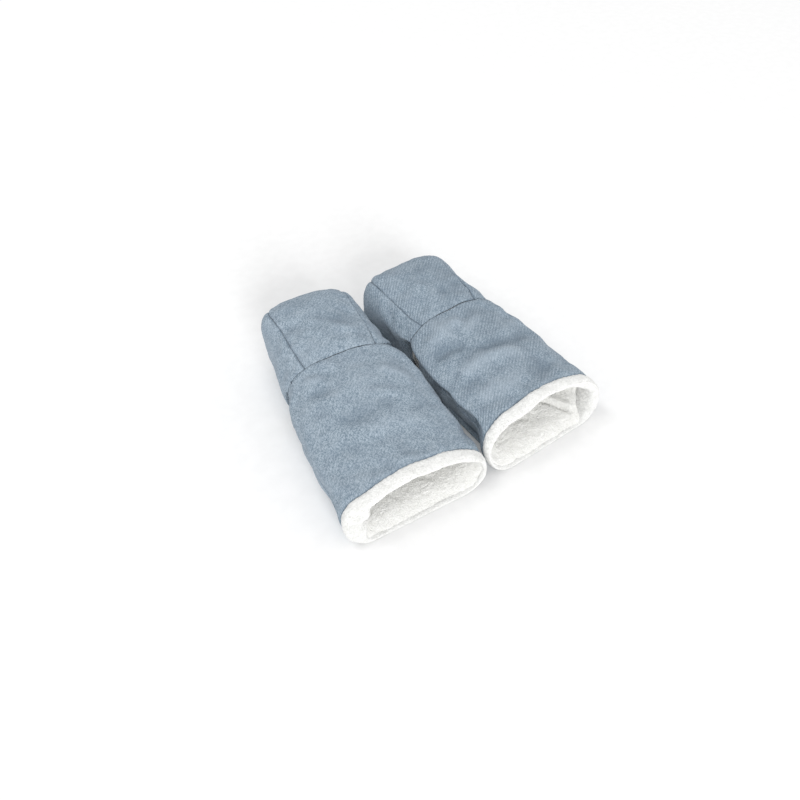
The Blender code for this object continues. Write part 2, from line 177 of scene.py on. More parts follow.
def half_outline(half_w, crown, n, shoulder, inset, lift, per=48):
    """Dense half outline from the top's middle to the sole's middle: x, z at 12 spans of per steps."""
    wide = WIDEST * crown
    a, up, low = half_w - inset, crown - wide - inset, wide - lift - inset
    sole = SOLE * a
    up_to = (90.0 - shoulder) / 3.0
    knots = [math.radians(v) for v in (90.0, 90.0 - up_to, 90.0 - 2.0 * up_to, shoulder, 0.66 * shoulder, 0.32 * shoulder, 0.0)]
    xs, zs = [], []
    for i in range(6):
        t = np.arange(per) / per
        if i == 5:
            t = 1.0 - (1.0 - t) ** 3
        phi = knots[i] + (knots[i + 1] - knots[i]) * t
        xs.append(a * np.cos(phi) ** (2.0 / n))
        zs.append(wide + up * np.maximum(np.sin(phi), 0.0) ** (2.0 / n))
    for i in range(3):
        t = np.arange(per) / per
        phi = np.radians(30.0 * (i + t))
        xs.append(sole + (a - sole) * np.cos(phi) ** 0.91)
        zs.append(wide - low * np.sin(phi) ** 0.91)
    t = np.arange(3 * per + 1) / (3.0 * per)
    xs.append(sole * (1.0 - t))
    zs.append(np.full(3 * per + 1, wide - low))
    return np.concatenate(xs), np.concatenate(zs)


def section(u, y, inset, lift, pose):
    """x and z at places u round the outline at y. Whole numbers of u are the construction's columns."""
    x, z = half_outline(*station(y, pose), inset, lift)
    per = 48
    s = np.concatenate([[0.0], np.cumsum(np.hypot(np.diff(x), np.diff(z)))])
    t = np.mod(np.asarray(u, float) - 3.0, 24.0)
    side = np.where(t <= 12.0, -1.0, 1.0)
    t = np.where(t <= 12.0, t, 24.0 - t)
    k = np.clip(np.floor(t).astype(int), 0, 11)
    target = s[k * per] + (t - k) * (s[(k + 1) * per] - s[k * per])
    return side * np.interp(target, s, x), np.interp(target, s, z)


def lean(pts, pose):
    """The cuff's top lip lies further back than its lower lip, and its mouth is cut askew."""
    x, y, z = pts[..., 0], pts[..., 1], pts[..., 2]
    side = 1.0 if pose["x"] > 0.0 else -1.0
    t = 0.5 + 0.5 * side * x / SLEEVE[0, 1]
    reach = pose["in"] + (pose["out"] - pose["in"]) * t
    out = pts.copy()
    out[..., 1] = y + (CUFF_LEAN * z - reach) * (1.0 - smooth(y / LEAN_FADE))
    return out


def slot_top(u, pose):
    """Height of the slots' upper end at places u: the left mitt's inboard slot gapes a little further up."""
    far = (np.mod(u, 24.0) >= 18.0) & (pose["x"] < 0.0)
    return np.where(far, 0.0720, SLOT_TOP)


def slot_half(u, pose):
    """Half of the space between sleeve and hood at places u."""
    _, z = section(u, JOIN_Y, 0.0, 0.0, pose)
    u = np.mod(u, 24.0)
    top = slot_top(u, pose)
    mid, half = 0.5 * (SLOT_LOW + top), 0.5 * (top - SLOT_LOW)
    t = 1.0 - ((z - mid) / half) ** 2
    base = np.where(z > mid, 0.5 * GAP, UNDER_GAP)
    lens = SLOT_HALF * np.maximum(t, 0.0) ** 0.45
    out = np.maximum(base, lens)
    out = np.where((u >= 12.0) & (u <= 18.0), UNDER_GAP, out)
    return out


def sole_lift(y):
    return LIFT * float(smooth((y - LIFT_FROM) / (LIFT_TO - LIFT_FROM)))


def sleeve_grid(us, y0s, inset, pose):
    """rows x places x 3 points of the sleeve at one depth, in the mitt's own frame."""
    us = np.asarray(us, float)
    slot = slot_half(us, pose)
    out = np.zeros((len(y0s), len(us), 3))
    for r, y0 in enumerate(y0s):
        pull = float(smooth((y0 - 0.143) / (JOIN_Y - 0.143)))
        x, z = section(us, y0, inset, sole_lift(y0), pose)
        if pull > 0.0:
            back = y0 - SLOT_HALF
            x1, z1 = section(us, back, inset, sole_lift(back), pose)
            t = slot * pull / SLOT_HALF
            x, z = x + (x1 - x) * t, z + (z1 - z) * t
        out[r, :, 0], out[r, :, 1], out[r, :, 2] = x, y0 - slot * pull, z
    return lean(out, pose)


def hood_grid(us, y0s, inset, pose):
    """The same for the straight part of the hood, y0 from JOIN_Y to TOE_Y."""
    us = np.asarray(us, float)
    slot = slot_half(us, pose)
    out = np.zeros((len(y0s), len(us), 3))
    for r, y0 in enumerate(y0s):
        pull = 1.0 - float(smooth((y0 - JOIN_Y) / 0.045))
        x, z = section(us, max(y0, JOIN_Y + 1e-6), inset, 0.0, pose)
        if pull > 0.0:
            x1, z1 = section(us, y0 + SLOT_HALF, inset, 0.0, pose)
            t = slot * pull / SLOT_HALF
            x, z = x + (x1 - x) * t, z + (z1 - z) * t
        out[r, :, 0], out[r, :, 1], out[r, :, 2] = x, y0 + slot * pull, z
    return out


def toe_grid(us, angles, inset, pose=POSES["left"]):
    """The hood's rows round the toe's rim, by angle."""
    out = np.zeros((len(angles), len(us), 3))
    r = TOE_RADIUS - inset
    for i, deg in enumerate(angles):
        a = math.radians(deg)
        x, z = section(us, TOE_Y, inset + r * (1.0 - math.cos(a)), 0.0, pose)
        out[i, :, 0], out[i, :, 1], out[i, :, 2] = x, TOE_Y + r * math.sin(a), z
    return out


def toe_face_y(x, z, inset, bulge=0.0018):
    """y of the rounded toe over a point of its face."""
    half_w, crown, n, _ = station(TOE_Y, POSES["left"])
    wide = WIDEST * crown
    lo, hi = np.zeros_like(x), np.full_like(x, TOE_RADIUS)
    m = 2.0 / 0.91
    for _ in range(34):
        i = 0.5 * (lo + hi)
        a, up, low = half_w - i, crown - wide - i, wide - i
        sole = SOLE * a
        top = (np.abs(x) / a) ** n + (np.maximum(z - wide, 0.0) / up) ** n
        under = (np.maximum(np.abs(x) - sole, 0.0) / (a - sole)) ** m + (np.maximum(wide - z, 0.0) / low) ** m
        inside = np.where(z >= wide, top, under) < 1.0
        lo, hi = np.where(inside, i, lo), np.where(inside, hi, i)
    r = TOE_RADIUS - inset
    d = np.clip(0.5 * (lo + hi) - inset, 0.0, r)
    flat = np.clip((0.5 * (lo + hi) - 0.6 * TOE_RADIUS) / (0.4 * TOE_RADIUS), 0.0, 1.0)
    return TOE_Y + np.sqrt(np.maximum(r * r - (r - d) ** 2, 0.0)) + bulge * flat * flat * (3 - 2 * flat)


def toe_face(n_across, n_down, inset, rim_angle, across=None, down=None):
    """Square grid over the toe's face inside one rim angle: from the top edge down, right to left."""
    fa = np.linspace(0.0, 1.0, n_across + 1) if across is None else across
    fd = np.linspace(0.0, 1.0, n_down + 1) if down is None else down
    top = toe_grid(6.0 * fa, [rim_angle], inset)[0]
    sole = toe_grid(18.0 - 6.0 * fa, [rim_angle], inset)[0]
    right = toe_grid(24.0 - 6.0 * fd, [rim_angle], inset)[0]
    left = toe_grid(6.0 + 6.0 * fd, [rim_angle], inset)[0]
    u, v = fa[None, :, None], fd[:, None, None]
    p = (top[None] * (1 - v) + sole[None] * v + right[:, None] * (1 - u) + left[:, None] * u
         - (right[0] * (1 - u) * (1 - v) + left[0] * u * (1 - v) + right[-1] * (1 - u) * v + left[-1] * u * v))
    p[..., 1] = toe_face_y(p[..., 0], p[..., 2], inset)
    edge = np.zeros(p.shape[:2], bool)
    edge[0], edge[-1], edge[:, 0], edge[:, -1] = True, True, True, True
    p[edge, 1] = top[0, 1]
    return p


def to_row(pts, pose):
    """From the mitt's own frame to the row frame."""
    t = math.radians(pose["turn"])
    c, s = math.cos(t), math.sin(t)
    out = np.array(pts, float)
    out[..., 0] = pose["x"] + c * pts[..., 0] - s * pts[..., 1]
    out[..., 1] = pose["y"] + s * pts[..., 0] + c * pts[..., 1]
    return out


def normals(P, wrap=False):
    """Outward normals of a grid whose places run right to left over the top and whose rows run towards the toe."""
    du = np.roll(P, -1, 1) - np.roll(P, 1, 1) if wrap else np.gradient(P, axis=1)
    dv = np.gradient(P, axis=0)
    n = np.cross(dv, du)
    length = np.linalg.norm(n, axis=-1, keepdims=True)
    return n / np.maximum(length, 1e-12)


def arc_u(P):
    """Distance along each row from its first place."""
    d = np.linalg.norm(np.diff(P, axis=1), axis=-1)
    return np.concatenate([np.zeros((len(P), 1)), np.cumsum(d, axis=1)], axis=1)


def arc_v(P):
    d = np.linalg.norm(np.diff(P, axis=0), axis=-1)
    return np.concatenate([np.zeros((1, P.shape[1])), np.cumsum(d, axis=0)], axis=0)


def sample(field, rf, cf, wrap=False):
    """Cubic look-up of a field (rows x places) at fractional row rf and place cf (arrays that broadcast)."""
    rows, cols = field.shape[:2]
    rf, cf = np.broadcast_arrays(np.asarray(rf, float), np.asarray(cf, float))
    r0, c0 = np.floor(rf).astype(int), np.floor(cf).astype(int)
    tr, tc = rf - r0, cf - c0

    def weights(t):
        return (-0.5 * t + t * t - 0.5 * t ** 3, 1 - 2.5 * t * t + 1.5 * t ** 3,
                0.5 * t + 2 * t * t - 1.5 * t ** 3, -0.5 * t * t + 0.5 * t ** 3)
    out = 0.0
    for i, wr in enumerate(weights(tr)):
        ri = np.clip(r0 + i - 1, 0, rows - 1)
        for j, wc in enumerate(weights(tc)):
            ci = (c0 + j - 1) % cols if wrap else np.clip(c0 + j - 1, 0, cols - 1)
            out = out + wr * wc * field[ri, ci]
    return out


def blur(field, times, wrap=False):
    for _ in range(times):
        p = np.concatenate([field[:1], field, field[-1:]], 0)
        field = 0.25 * p[:-2] + 0.5 * p[1:-1] + 0.25 * p[2:]
        if wrap:
            field = 0.25 * np.roll(field, 1, 1) + 0.5 * field + 0.25 * np.roll(field, -1, 1)
        else:
            p = np.concatenate([field[:, :1], field, field[:, -1:]], 1)
            field = 0.25 * p[:, :-2] + 0.5 * p[:, 1:-1] + 0.25 * p[:, 2:]
    return field


# ----------------------------------------------------------------------
# Meshes
# ----------------------------------------------------------------------
def add_piece(name, verts, faces, mat, uv=None, seam=None, fold=None):
    mesh = bpy.data.meshes.new(name)
    verts = np.array(verts, float)
    verts[:, 2] = np.maximum(verts[:, 2], 0.0)                     # nothing sinks into the floor
    mesh.from_pydata(verts.tolist(), [], [tuple(f) for f in np.asarray(faces).tolist()])
    mesh.validate()
    mesh.shade_smooth()
    if uv is not None:
        layer = mesh.uv_layers.new(name="Weave")
        index = np.zeros(len(mesh.loops), np.int64)
        mesh.loops.foreach_get("vertex_index", index)
        layer.uv.foreach_set("vector", np.asarray(uv, np.float32)[index].ravel())
    if seam is not None:
        attribute = mesh.attributes.new("seam", "FLOAT", "POINT")
        attribute.data.foreach_set("value", np.asarray(seam, np.float32).ravel())
    if fold is not None:
        attribute = mesh.attributes.new("fold", "FLOAT", "POINT")
        attribute.data.foreach_set("value", np.asarray(fold, np.float32).ravel())
    if mat is not None:
        mesh.materials.append(mat)
    obj = bpy.data.objects.new(name, mesh)
    bpy.context.scene.collection.objects.link(obj)
    return obj


def grid_faces(rows, cols, base=0, wrap=False, flip=False):
    """Quads of a grid, facing out where rows run towards the toe and places right to left."""
    r, c = np.meshgrid(np.arange(rows - 1), np.arange(cols if wrap else cols - 1), indexing="ij")
    d = (c + 1) % cols
    a, b = base + r * cols + c, base + r * cols + d
    e, f = base + (r + 1) * cols + d, base + (r + 1) * cols + c
    q = np.stack([a, b, e, f], -1) if flip else np.stack([a, f, e, b], -1)
    return q.reshape(-1, 4)


def closed_sheet(outer, inner, wrap=False):
    """Vertices and quads of the space between two grids of the same shape."""
    rows, cols = outer.shape[:2]
    n = rows * cols
    verts = np.concatenate([outer.reshape(-1, 3), inner.reshape(-1, 3)])
    faces = [grid_faces(rows, cols, 0, wrap), grid_faces(rows, cols, n, wrap, flip=True)]
    c = np.arange(cols if wrap else cols - 1)
    d = (c + 1) % cols
    last = (rows - 1) * cols
    faces.append(np.stack([c, d, n + d, n + c], -1))
    faces.append(np.stack([last + d, last + c, n + last + c, n + last + d], -1))
    if not wrap:
        r = np.arange(rows - 1)
        a, b = r * cols, (r + 1) * cols
        faces.append(np.stack([b, a, n + a, n + b], -1))
        a, b = a + cols - 1, b + cols - 1
        faces.append(np.stack([a, b, n + b, n + a], -1))
    return verts, np.concatenate(faces)


def cloth_piece(name, P, mat, thick=0.0009, seam=None, uv_shift=(0.0, 0.0)):
    """Closed piece of cloth whose outer face is the grid P."""
    N = normals(P)
    verts, faces = closed_sheet(P, P - N * thick)
    uv = np.stack([arc_u(P) + uv_shift[0], arc_v(P) + uv_shift[1]], -1).reshape(-1, 2)
    s = np.zeros(P.shape[:2]) if seam is None else seam
    return add_piece(name, verts, faces, mat, np.concatenate([uv, uv]), np.concatenate([s.ravel(), s.ravel()]))


def spread(first, last, step, ends=((), ()), scale=1.0):
    """Values from first to last about step apart, with closer ones near the ends: ends lists distances (times scale)."""
    n = max(2, int(round(abs(last - first) / step)))
    body = np.linspace(first, last, n + 1)
    sign = 1.0 if last > first else -1.0
    extra = [first + sign * d * scale for d in ends[0]] + [last - sign * d * scale for d in ends[1]]
    both = np.unique(np.round(np.concatenate([body, np.array(extra, float)]), 7))
    return both if sign > 0 else both[::-1]


# ----------------------------------------------------------------------
# Cloth simulation of the padded panels
# ----------------------------------------------------------------------
def swell(P, pins, wrap=False, pressure=3.0, slack=0.02, bend=0.6, frames=18, gravity=0.0):
    """How far a padded panel stands proud of the grid P, along its normals, after a run of Blender's cloth with pressure."""
    rows, cols = P.shape[:2]
    scene = bpy.context.scene
    obj = add_piece("swelling", P.reshape(-1, 3), grid_faces(rows, cols, 0, wrap), None)
    group = obj.vertex_groups.new(name="pin")
    flat = np.asarray(pins, float).ravel()
    for w in np.unique(flat[flat > 0.0]):
        group.add(np.nonzero(flat == w)[0].tolist(), float(w), "REPLACE")
    mod = obj.modifiers.new("Cloth", "CLOTH")
    st = mod.settings
    st.quality = 7
    st.mass = 0.15
    st.tension_stiffness = st.compression_stiffness = 18.0
    st.shear_stiffness = 8.0
    st.bending_stiffness = bend
    st.air_damping = 2.0
    st.vertex_group_mass = "pin"
    st.use_pressure = True
    st.uniform_pressure_force = pressure
    st.shrink_min = -slack
    st.effector_weights.gravity = gravity
    mod.collision_settings.use_collision = False
    mod.collision_settings.use_self_collision = False
    mod.point_cache.frame_start, mod.point_cache.frame_end = 1, frames
    for f in range(1, frames + 1):
        scene.frame_set(f)
    shown = obj.evaluated_get(bpy.context.evaluated_depsgraph_get())
    mesh = shown.to_mesh()
    co = np.zeros(len(mesh.vertices) * 3)
    mesh.vertices.foreach_get("co", co)
    shown.to_mesh_clear()
    data = obj.data
    bpy.data.objects.remove(obj)
    bpy.data.meshes.remove(data)
    scene.frame_set(1)
    moved = co.reshape(rows, cols, 3) - P
    proud = (moved * normals(P, wrap)).sum(-1)
    return np.nan_to_num(proud)


def capped(h, low, high):
    """h kept between -low and high, softly."""
    return np.where(h > 0, high * np.tanh(h / high), low * np.tanh(h / low))


# ----------------------------------------------------------------------
# Relief of the sewn cloth
# ----------------------------------------------------------------------
PER = 13                # fine places to one construction column
STEP = 0.00128          # spacing of the fine rows
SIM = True


# the cross seam of the left mitt is drawn in less than the right one's, and gets less painted seam shade
JOIN_GROOVE = {"left": 0.0006, "right": 0.0010}
JOIN_TONE = {"left": 0.10, "right": 0.40}


def seam_relief(d, along, depth, width, soft, pucker, salt):
    """Relief beside a seam, at distance d from it: a sharp groove in a soft hollow, with short puckers across it."""
    ripple = value_noise(np.stack([along, 0 * along, 0 * along], -1), 0.0042, salt)
    ripple = ripple + 0.5 * value_noise(np.stack([along, 0 * along + 1.0, 0 * along], -1), 0.0095, salt + 5)
    return (-depth * np.exp(-(d / width) ** 1.3) - soft * np.exp(-(d / 0.0065) ** 1.5)
            + pucker * ripple * np.exp(-(d / 0.0055) ** 2) * (1.0 - np.exp(-(d / 0.0012) ** 2)))


def crease(P, a, b, height, width, bow=0.0):
    """A soft fold (height above 0) or crease (below 0) from point a to point b in the mitt's plan, x and y."""
    a, b = np.array(a, float), np.array(b, float)
    d = b - a
    length = np.hypot(*d)
    d = d / length
    q = P[..., :2] - a
    s = (q @ d) / length
    off = q @ np.array([-d[1], d[0]]) - bow * length * 4.0 * s * (1.0 - s)
    ends = smooth((s + 0.18) / 0.36) * smooth((1.18 - s) / 0.36)
    return height * np.exp(-(off / width) ** 2) * ends


FOLDS = {
    "left": [((-0.040, 0.132), (0.026, 0.141), 0.0012, 0.009, 0.06), ((-0.041, 0.104), (0.034, 0.109), -0.0013, 0.010, -0.05),
             ((-0.065, 0.155), (-0.032, 0.149), -0.0013, 0.007, 0.0), ((-0.033, 0.074), (0.043, 0.082), 0.0013, 0.011, 0.05),
             ((-0.067, 0.072), (0.011, 0.067), -0.0010, 0.010, 0.04), ((-0.046, 0.224), (-0.040, 0.194), 0.0008, 0.005, 0.0),
             ((-0.058, 0.172), (-0.035, 0.168), 0.0014, 0.006, 0.0), ((0.011, 0.080), (0.077, 0.096), -0.0011, 0.009, 0.05),
             ((-0.066, 0.212), (-0.057, 0.180), 0.0013, 0.006, 0.0), ((-0.020, 0.228), (0.025, 0.229), -0.0009, 0.009, 0.05),
             ((0.030, 0.150), (0.062, 0.128), 0.0012, 0.008, 0.0)],
    "right": [((-0.066, 0.142), (-0.023, 0.136), -0.0026, 0.008, 0.06), ((-0.038, 0.167), (-0.001, 0.165), 0.0018, 0.009, 0.05),
              ((-0.053, 0.102), (0.028, 0.093), 0.0022, 0.010, 0.08), ((-0.013, 0.118), (0.063, 0.114), -0.0020, 0.009, -0.05),
              ((-0.078, 0.108), (-0.054, 0.107), -0.0013, 0.008, 0.0), ((-0.058, 0.068), (0.023, 0.046), 0.0015, 0.011, 0.06),
              ((0.024, 0.124), (0.067, 0.138), 0.0014, 0.008, 0.0), ((-0.038, 0.227), (-0.004, 0.233), 0.0013, 0.008, 0.05),
              ((0.004, 0.213), (0.048, 0.221), -0.0015, 0.007, 0.0), ((-0.069, 0.093), (-0.037, 0.090), -0.0014, 0.008, 0.0),
              ((-0.013, 0.050), (0.059, 0.057), -0.0012, 0.010, 0.05), ((-0.056, 0.164), (-0.023, 0.156), 0.0015, 0.007, 0.0),
              ((-0.011, 0.146), (0.026, 0.165), 0.0012, 0.008, 0.0), ((-0.030, 0.255), (0.030, 0.262), -0.0010, 0.009, 0.05)],
}
WRINKLES = {"left": (0.0012, -0.45), "right": (0.0017, 0.55)}     # height of the small wrinkles and their slant
FOLD_SCALE = {"left": 1.7, "right": 1.9}
WIDTH_Y = np.concatenate([SLEEVE[:, 0], HOOD[1:, 0]])
WIDTH_X = np.concatenate([SLEEVE[:, 1], HOOD[1:, 1]])


def broad_relief(P, side):
    """Unevenness of the wadding and the folds of the cloth over it, without the seams."""
    salt = 11 if side == "left" else 37
    above = smooth((P[..., 2] - 0.010) / 0.025)
    h = 0.0009 * value_noise(P, 0.030, salt) + 0.00045 * value_noise(P, 0.014, salt + 1) + 0.00016 * value_noise(P, 0.006, salt + 2)
    high, slant = WRINKLES[side]
    x, y, z = P[..., 0], P[..., 1], P[..., 2]
    c, w = math.cos(slant), math.sin(slant)
    q = np.stack([0.32 * (x * c + y * w), y * c - x * w, 0.6 * z], -1)
    q = q + 0.004 * np.stack([value_noise(P, 0.022, salt + 5)] * 3, -1)
    wide = np.interp(y, WIDTH_Y, WIDTH_X)
    inner = 1.0 - smooth((np.abs(x) / wide - 0.62) / 0.32)
    h = h * (0.5 + 0.5 * inner) + high * value_noise(q, 0.0115, salt + 6) * (0.30 + 0.70 * inner)
    for a, b, height, width, bow in FOLDS[side]:
        h = h + FOLD_SCALE[side] * inner * crease(P, a, b, height, width, bow)
    return h * (0.15 + 0.85 * above)


def shape_fix(P, side):
    """Small changes from the construction's shape, the same for every layer: where the stuffing pushes the cloth out."""
    out = P.copy()
    x, y, z = P[..., 0], P[..., 1], P[..., 2]
    for cx, cy, cz, r, dx, dy, dz in BULGES[side]:
        w = np.exp(-((x - cx) ** 2 + (y - cy) ** 2 + (z - cz) ** 2) / (r * r))
        out[..., 0] += dx * w
        out[..., 1] += dy * w
        out[..., 2] += dz * w * smooth(z / 0.02)
    if side == "right":
        # the inboard flank stands up steeply, and sinks in below the hood's seam
        wide = np.interp(y, WIDTH_Y, WIDTH_X)
        high = np.interp(y, (0.0, 0.100, 0.188), (0.052, 0.062, 0.068))
        w = np.exp(-((x + 0.80 * wide) ** 2 + (z - high) ** 2) / 0.021 ** 2) * smooth((y - 0.02) / 0.05) * smooth((0.215 - y) / 0.05)
        out[..., 0] -= 0.0006 * w
        out[..., 2] += 0.0022 * w
        w = smooth((-x / wide - 0.50) / 0.36) * smooth((high - 0.005 - z) / 0.013) * smooth(z / 0.010)
        out[..., 0] += 0.0135 * w * smooth((y - 0.022) / 0.040) * smooth((0.222 - y) / 0.040)
        w = np.exp(-((x + 0.068) / 0.036) ** 2 - ((y - 0.226) / 0.036) ** 2 - ((z - 0.034) / 0.029) ** 2)
        out[..., 0] += 0.0150 * w * smooth(z / 0.012)
    salt = 71 if side == "left" else 83
    near_mouth = 1.0 - smooth(y / 0.060)
    along = np.stack([x, 0.0 * y, 0.5 * z], -1)
    out[..., 1] += 0.0030 * near_mouth * value_noise(along, 0.026, salt) * smooth((z - 0.002) / 0.02)
    out[..., 2] += 0.0026 * near_mouth * value_noise(along, 0.030, salt + 1) * smooth((z - 0.012) / 0.03)
    return out


BULGES = {
    "left": [(-0.055, 0.288, 0.088, 0.024, -0.0045, 0.0010, 0.0020), (-0.064, 0.255, 0.035, 0.036, 0.0028, 0.0, 0.0),
             (0.072, 0.166, 0.055, 0.034, 0.0036, 0.0, 0.0), (0.084, 0.034, 0.034, 0.030, 0.0028, 0.0, 0.0),
             (-0.073, 0.180, 0.045, 0.022, 0.0026, 0.0, 0.0), (-0.086, 0.042, 0.030, 0.030, 0.0022, 0.0, 0.0)],
    "right": [(0.000, 0.290, 0.100, 0.042, 0.0, -0.0010, -0.0042), (0.048, 0.262, 0.080, 0.030, 0.0030, 0.0, 0.0),
              (0.066, 0.192, 0.055, 0.032, 0.0036, 0.0, 0.0)],
}


def swell_fields(side, pose):
    """Simulated swelling of the sleeve, the hood's strip and its two gussets, on coarse grids."""
    out = {}
    # sleeve: all round
    us = np.arange(0, 24, 0.25)
    ys = np.linspace(BODY_START, JOIN_Y, 40)
    P = shape_fix(sleeve_grid(us, ys, 0.0, pose), side)
    pins = np.zeros(P.shape[:2])
    pins[0], pins[-1] = 1.0, 1.0
    sole = (us >= 11.6) & (us <= 18.4)
    pins[:, sole] = 1.0
    seam = np.minimum(np.abs(us - 9.0), np.abs(us - 21.0)) < 0.13
    pins[:, seam] = 0.6
    out["sleeve"] = (us, ys, swell(P, pins, wrap=True, pressure=2.2, slack=0.028, bend=0.35, frames=22, gravity=0.12))
    # hood: the strip over top, toe and sole
    fa = np.linspace(0.0, 1.0, 25)
    P, _, _ = strip_rows(fa, 0.0042, pose)
    P = shape_fix(P, side)
    pins = np.zeros(P.shape[:2])
    pins[0], pins[:, 0], pins[:, -1], pins[-1] = 1.0, 1.0, 1.0, 1.0
    pins[P[..., 2] < 0.004] = 1.0
    out["strip"] = (fa, None, swell(P, pins, pressure=2.4, slack=0.030, bend=0.35, frames=20, gravity=0.05))
    for name, first in (("left", 6.0), ("right", 18.0)):
        us = np.linspace(first, first + 6.0, 25)
        rows = gusset_rows(0.0042)
        P = shape_fix(gusset_grid(us, rows, pose), side)
        pins = np.zeros(P.shape[:2])
        pins[-1], pins[:, 0], pins[:, -1] = 1.0, 1.0, 1.0
        pins[0] = 0.5
        pins[P[..., 2] < 0.002] = 1.0
        out["gusset_" + name] = (us, rows, swell(P, pins, pressure=2.2, slack=0.035, bend=0.35, frames=20))
    return out


# ----------------------------------------------------------------------
# Hood grids
# ----------------------------------------------------------------------
RIM = 64.0


def gusset_rows(step):
    """Rows of the hood's side, as (kind, value), from the join to the rim of the toe."""
    straight = np.linspace(JOIN_Y, TOE_Y, max(3, int(round((TOE_Y - JOIN_Y) / step)) + 1))
    angles = np.linspace(0.0, RIM, max(3, int(round(math.radians(RIM) * TOE_RADIUS / step)) + 1))[1:]
    return [("y", v) for v in straight] + [("a", v) for v in angles]


def gusset_grid(us, rows, pose, inset=0.0):
    straight = [v for k, v in rows if k == "y"]
    angles = [v for k, v in rows if k == "a"]
    return np.concatenate([hood_grid(us, straight, inset, pose), toe_grid(us, angles, inset)])


def strip_rows(fa, step, pose, inset=0.0):
    """Grid of the hood's strip with columns at fractions fa from right to left, its row labels and the first sole row."""
    rows = gusset_rows(step)
    top = gusset_grid(6.0 * fa, rows, pose, inset)
    below = gusset_grid(18.0 - 6.0 * fa, rows, pose, inset)[::-1]
    down = max(6, int(round(0.064 / step)))
    face = toe_face(len(fa) - 1, down, inset, RIM, across=fa)[1:-1]
    base = below[-1]
    flap = []
    for y in np.linspace(base[:, 1].mean() - step, JOIN_Y - FLAP_LENGTH, max(3, int(round((FLAP_LENGTH + UNDER_GAP) / step)))):
        t = (base[:, 1].mean() - y) / FLAP_LENGTH
        narrow = 1.0 - 0.015 * smooth(t / 0.3) - 0.045 * smooth((t - 0.25) / 0.75)
        row = base.copy()
        row[:, 0], row[:, 1] = base[:, 0] * narrow, y
        flap.append(row)
    grid = np.concatenate([top, face, below, np.array(flap)])
    return grid, len(top), len(top) + len(face)


def edge_distance(P):
    """Distance along the rows from the grid's right and left edges."""
    s = arc_u(P)
    return s, s[:, -1:] - s


def place_on(P, h):
    return P + normals(P) * h[..., None]


def rim_rows(P, N, last, forward, deep, start=0.0):
    """Rows that turn the cloth in over the edge of the wadding: deep is how far in for each place."""
    edge, n = (P[-1], N[-1]) if last else (P[0], N[0])
    t = (P[-1] - P[-3]) if last else (P[0] - P[2])
    t = t / np.maximum(np.linalg.norm(t, axis=-1, keepdims=True), 1e-9)
    t = t - n * (t * n).sum(-1, keepdims=True)
    rows = []
    for e, d in ((0.35, 0.04), (0.66, 0.14), (0.90, 0.32), (1.0, 0.56), (1.0, 0.80), (0.96, 1.0)):
        rows.append(edge + t * (forward * e)[:, None] - n * (start + deep * d)[:, None])
    return np.array(rows)


# ----------------------------------------------------------------------
# Plush
# ----------------------------------------------------------------------
def pile(P, salt, high=1.0):
    """Height of the pile at points P: tufts that gather in small clumps."""
    big = clumps(P + 0.0016 * np.stack([value_noise(P, 0.006, salt + 2)] * 3, -1), 0.0052, salt)
    small = clumps(P + 0.0009 * np.stack([value_noise(P, 0.003, salt + 3)] * 3, -1), 0.0021, salt + 9)
    h = 0.0015 * (0.72 - big) + 0.00085 * (0.70 - small) + 0.0007 * value_noise(P, 0.013, salt + 4)
    return high * h


def torus_mesh(P):
    """Quads of a grid closed both ways, facing out where its rows run from the far end over the outer side."""
    rows, cols = P.shape[:2]
    r, c = np.meshgrid(np.arange(rows), np.arange(cols), indexing="ij")
    s, d = (r + 1) % rows, (c + 1) % cols
    a, b, e, f = r * cols + c, r * cols + d, s * cols + d, s * cols + c
    return P.reshape(-1, 3), np.stack([a, b, e, f], -1).reshape(-1, 4)


def torus_normals(P):
    du = np.roll(P, -1, 1) - np.roll(P, 1, 1)
    dv = np.roll(P, -1, 0) - np.roll(P, 1, 0)
    n = np.cross(du, dv)
    return n / np.maximum(np.linalg.norm(n, axis=-1, keepdims=True), 1e-12)


def power(v, p):
    return np.sign(v) * np.abs(v) ** p


ROLL_TOP, ROLL_SOLE, ROLL_END = 0.0074, 0.0050, {"left": 0.0240, "right": 0.0145}    # wall at the upper lip, sole, outboard end


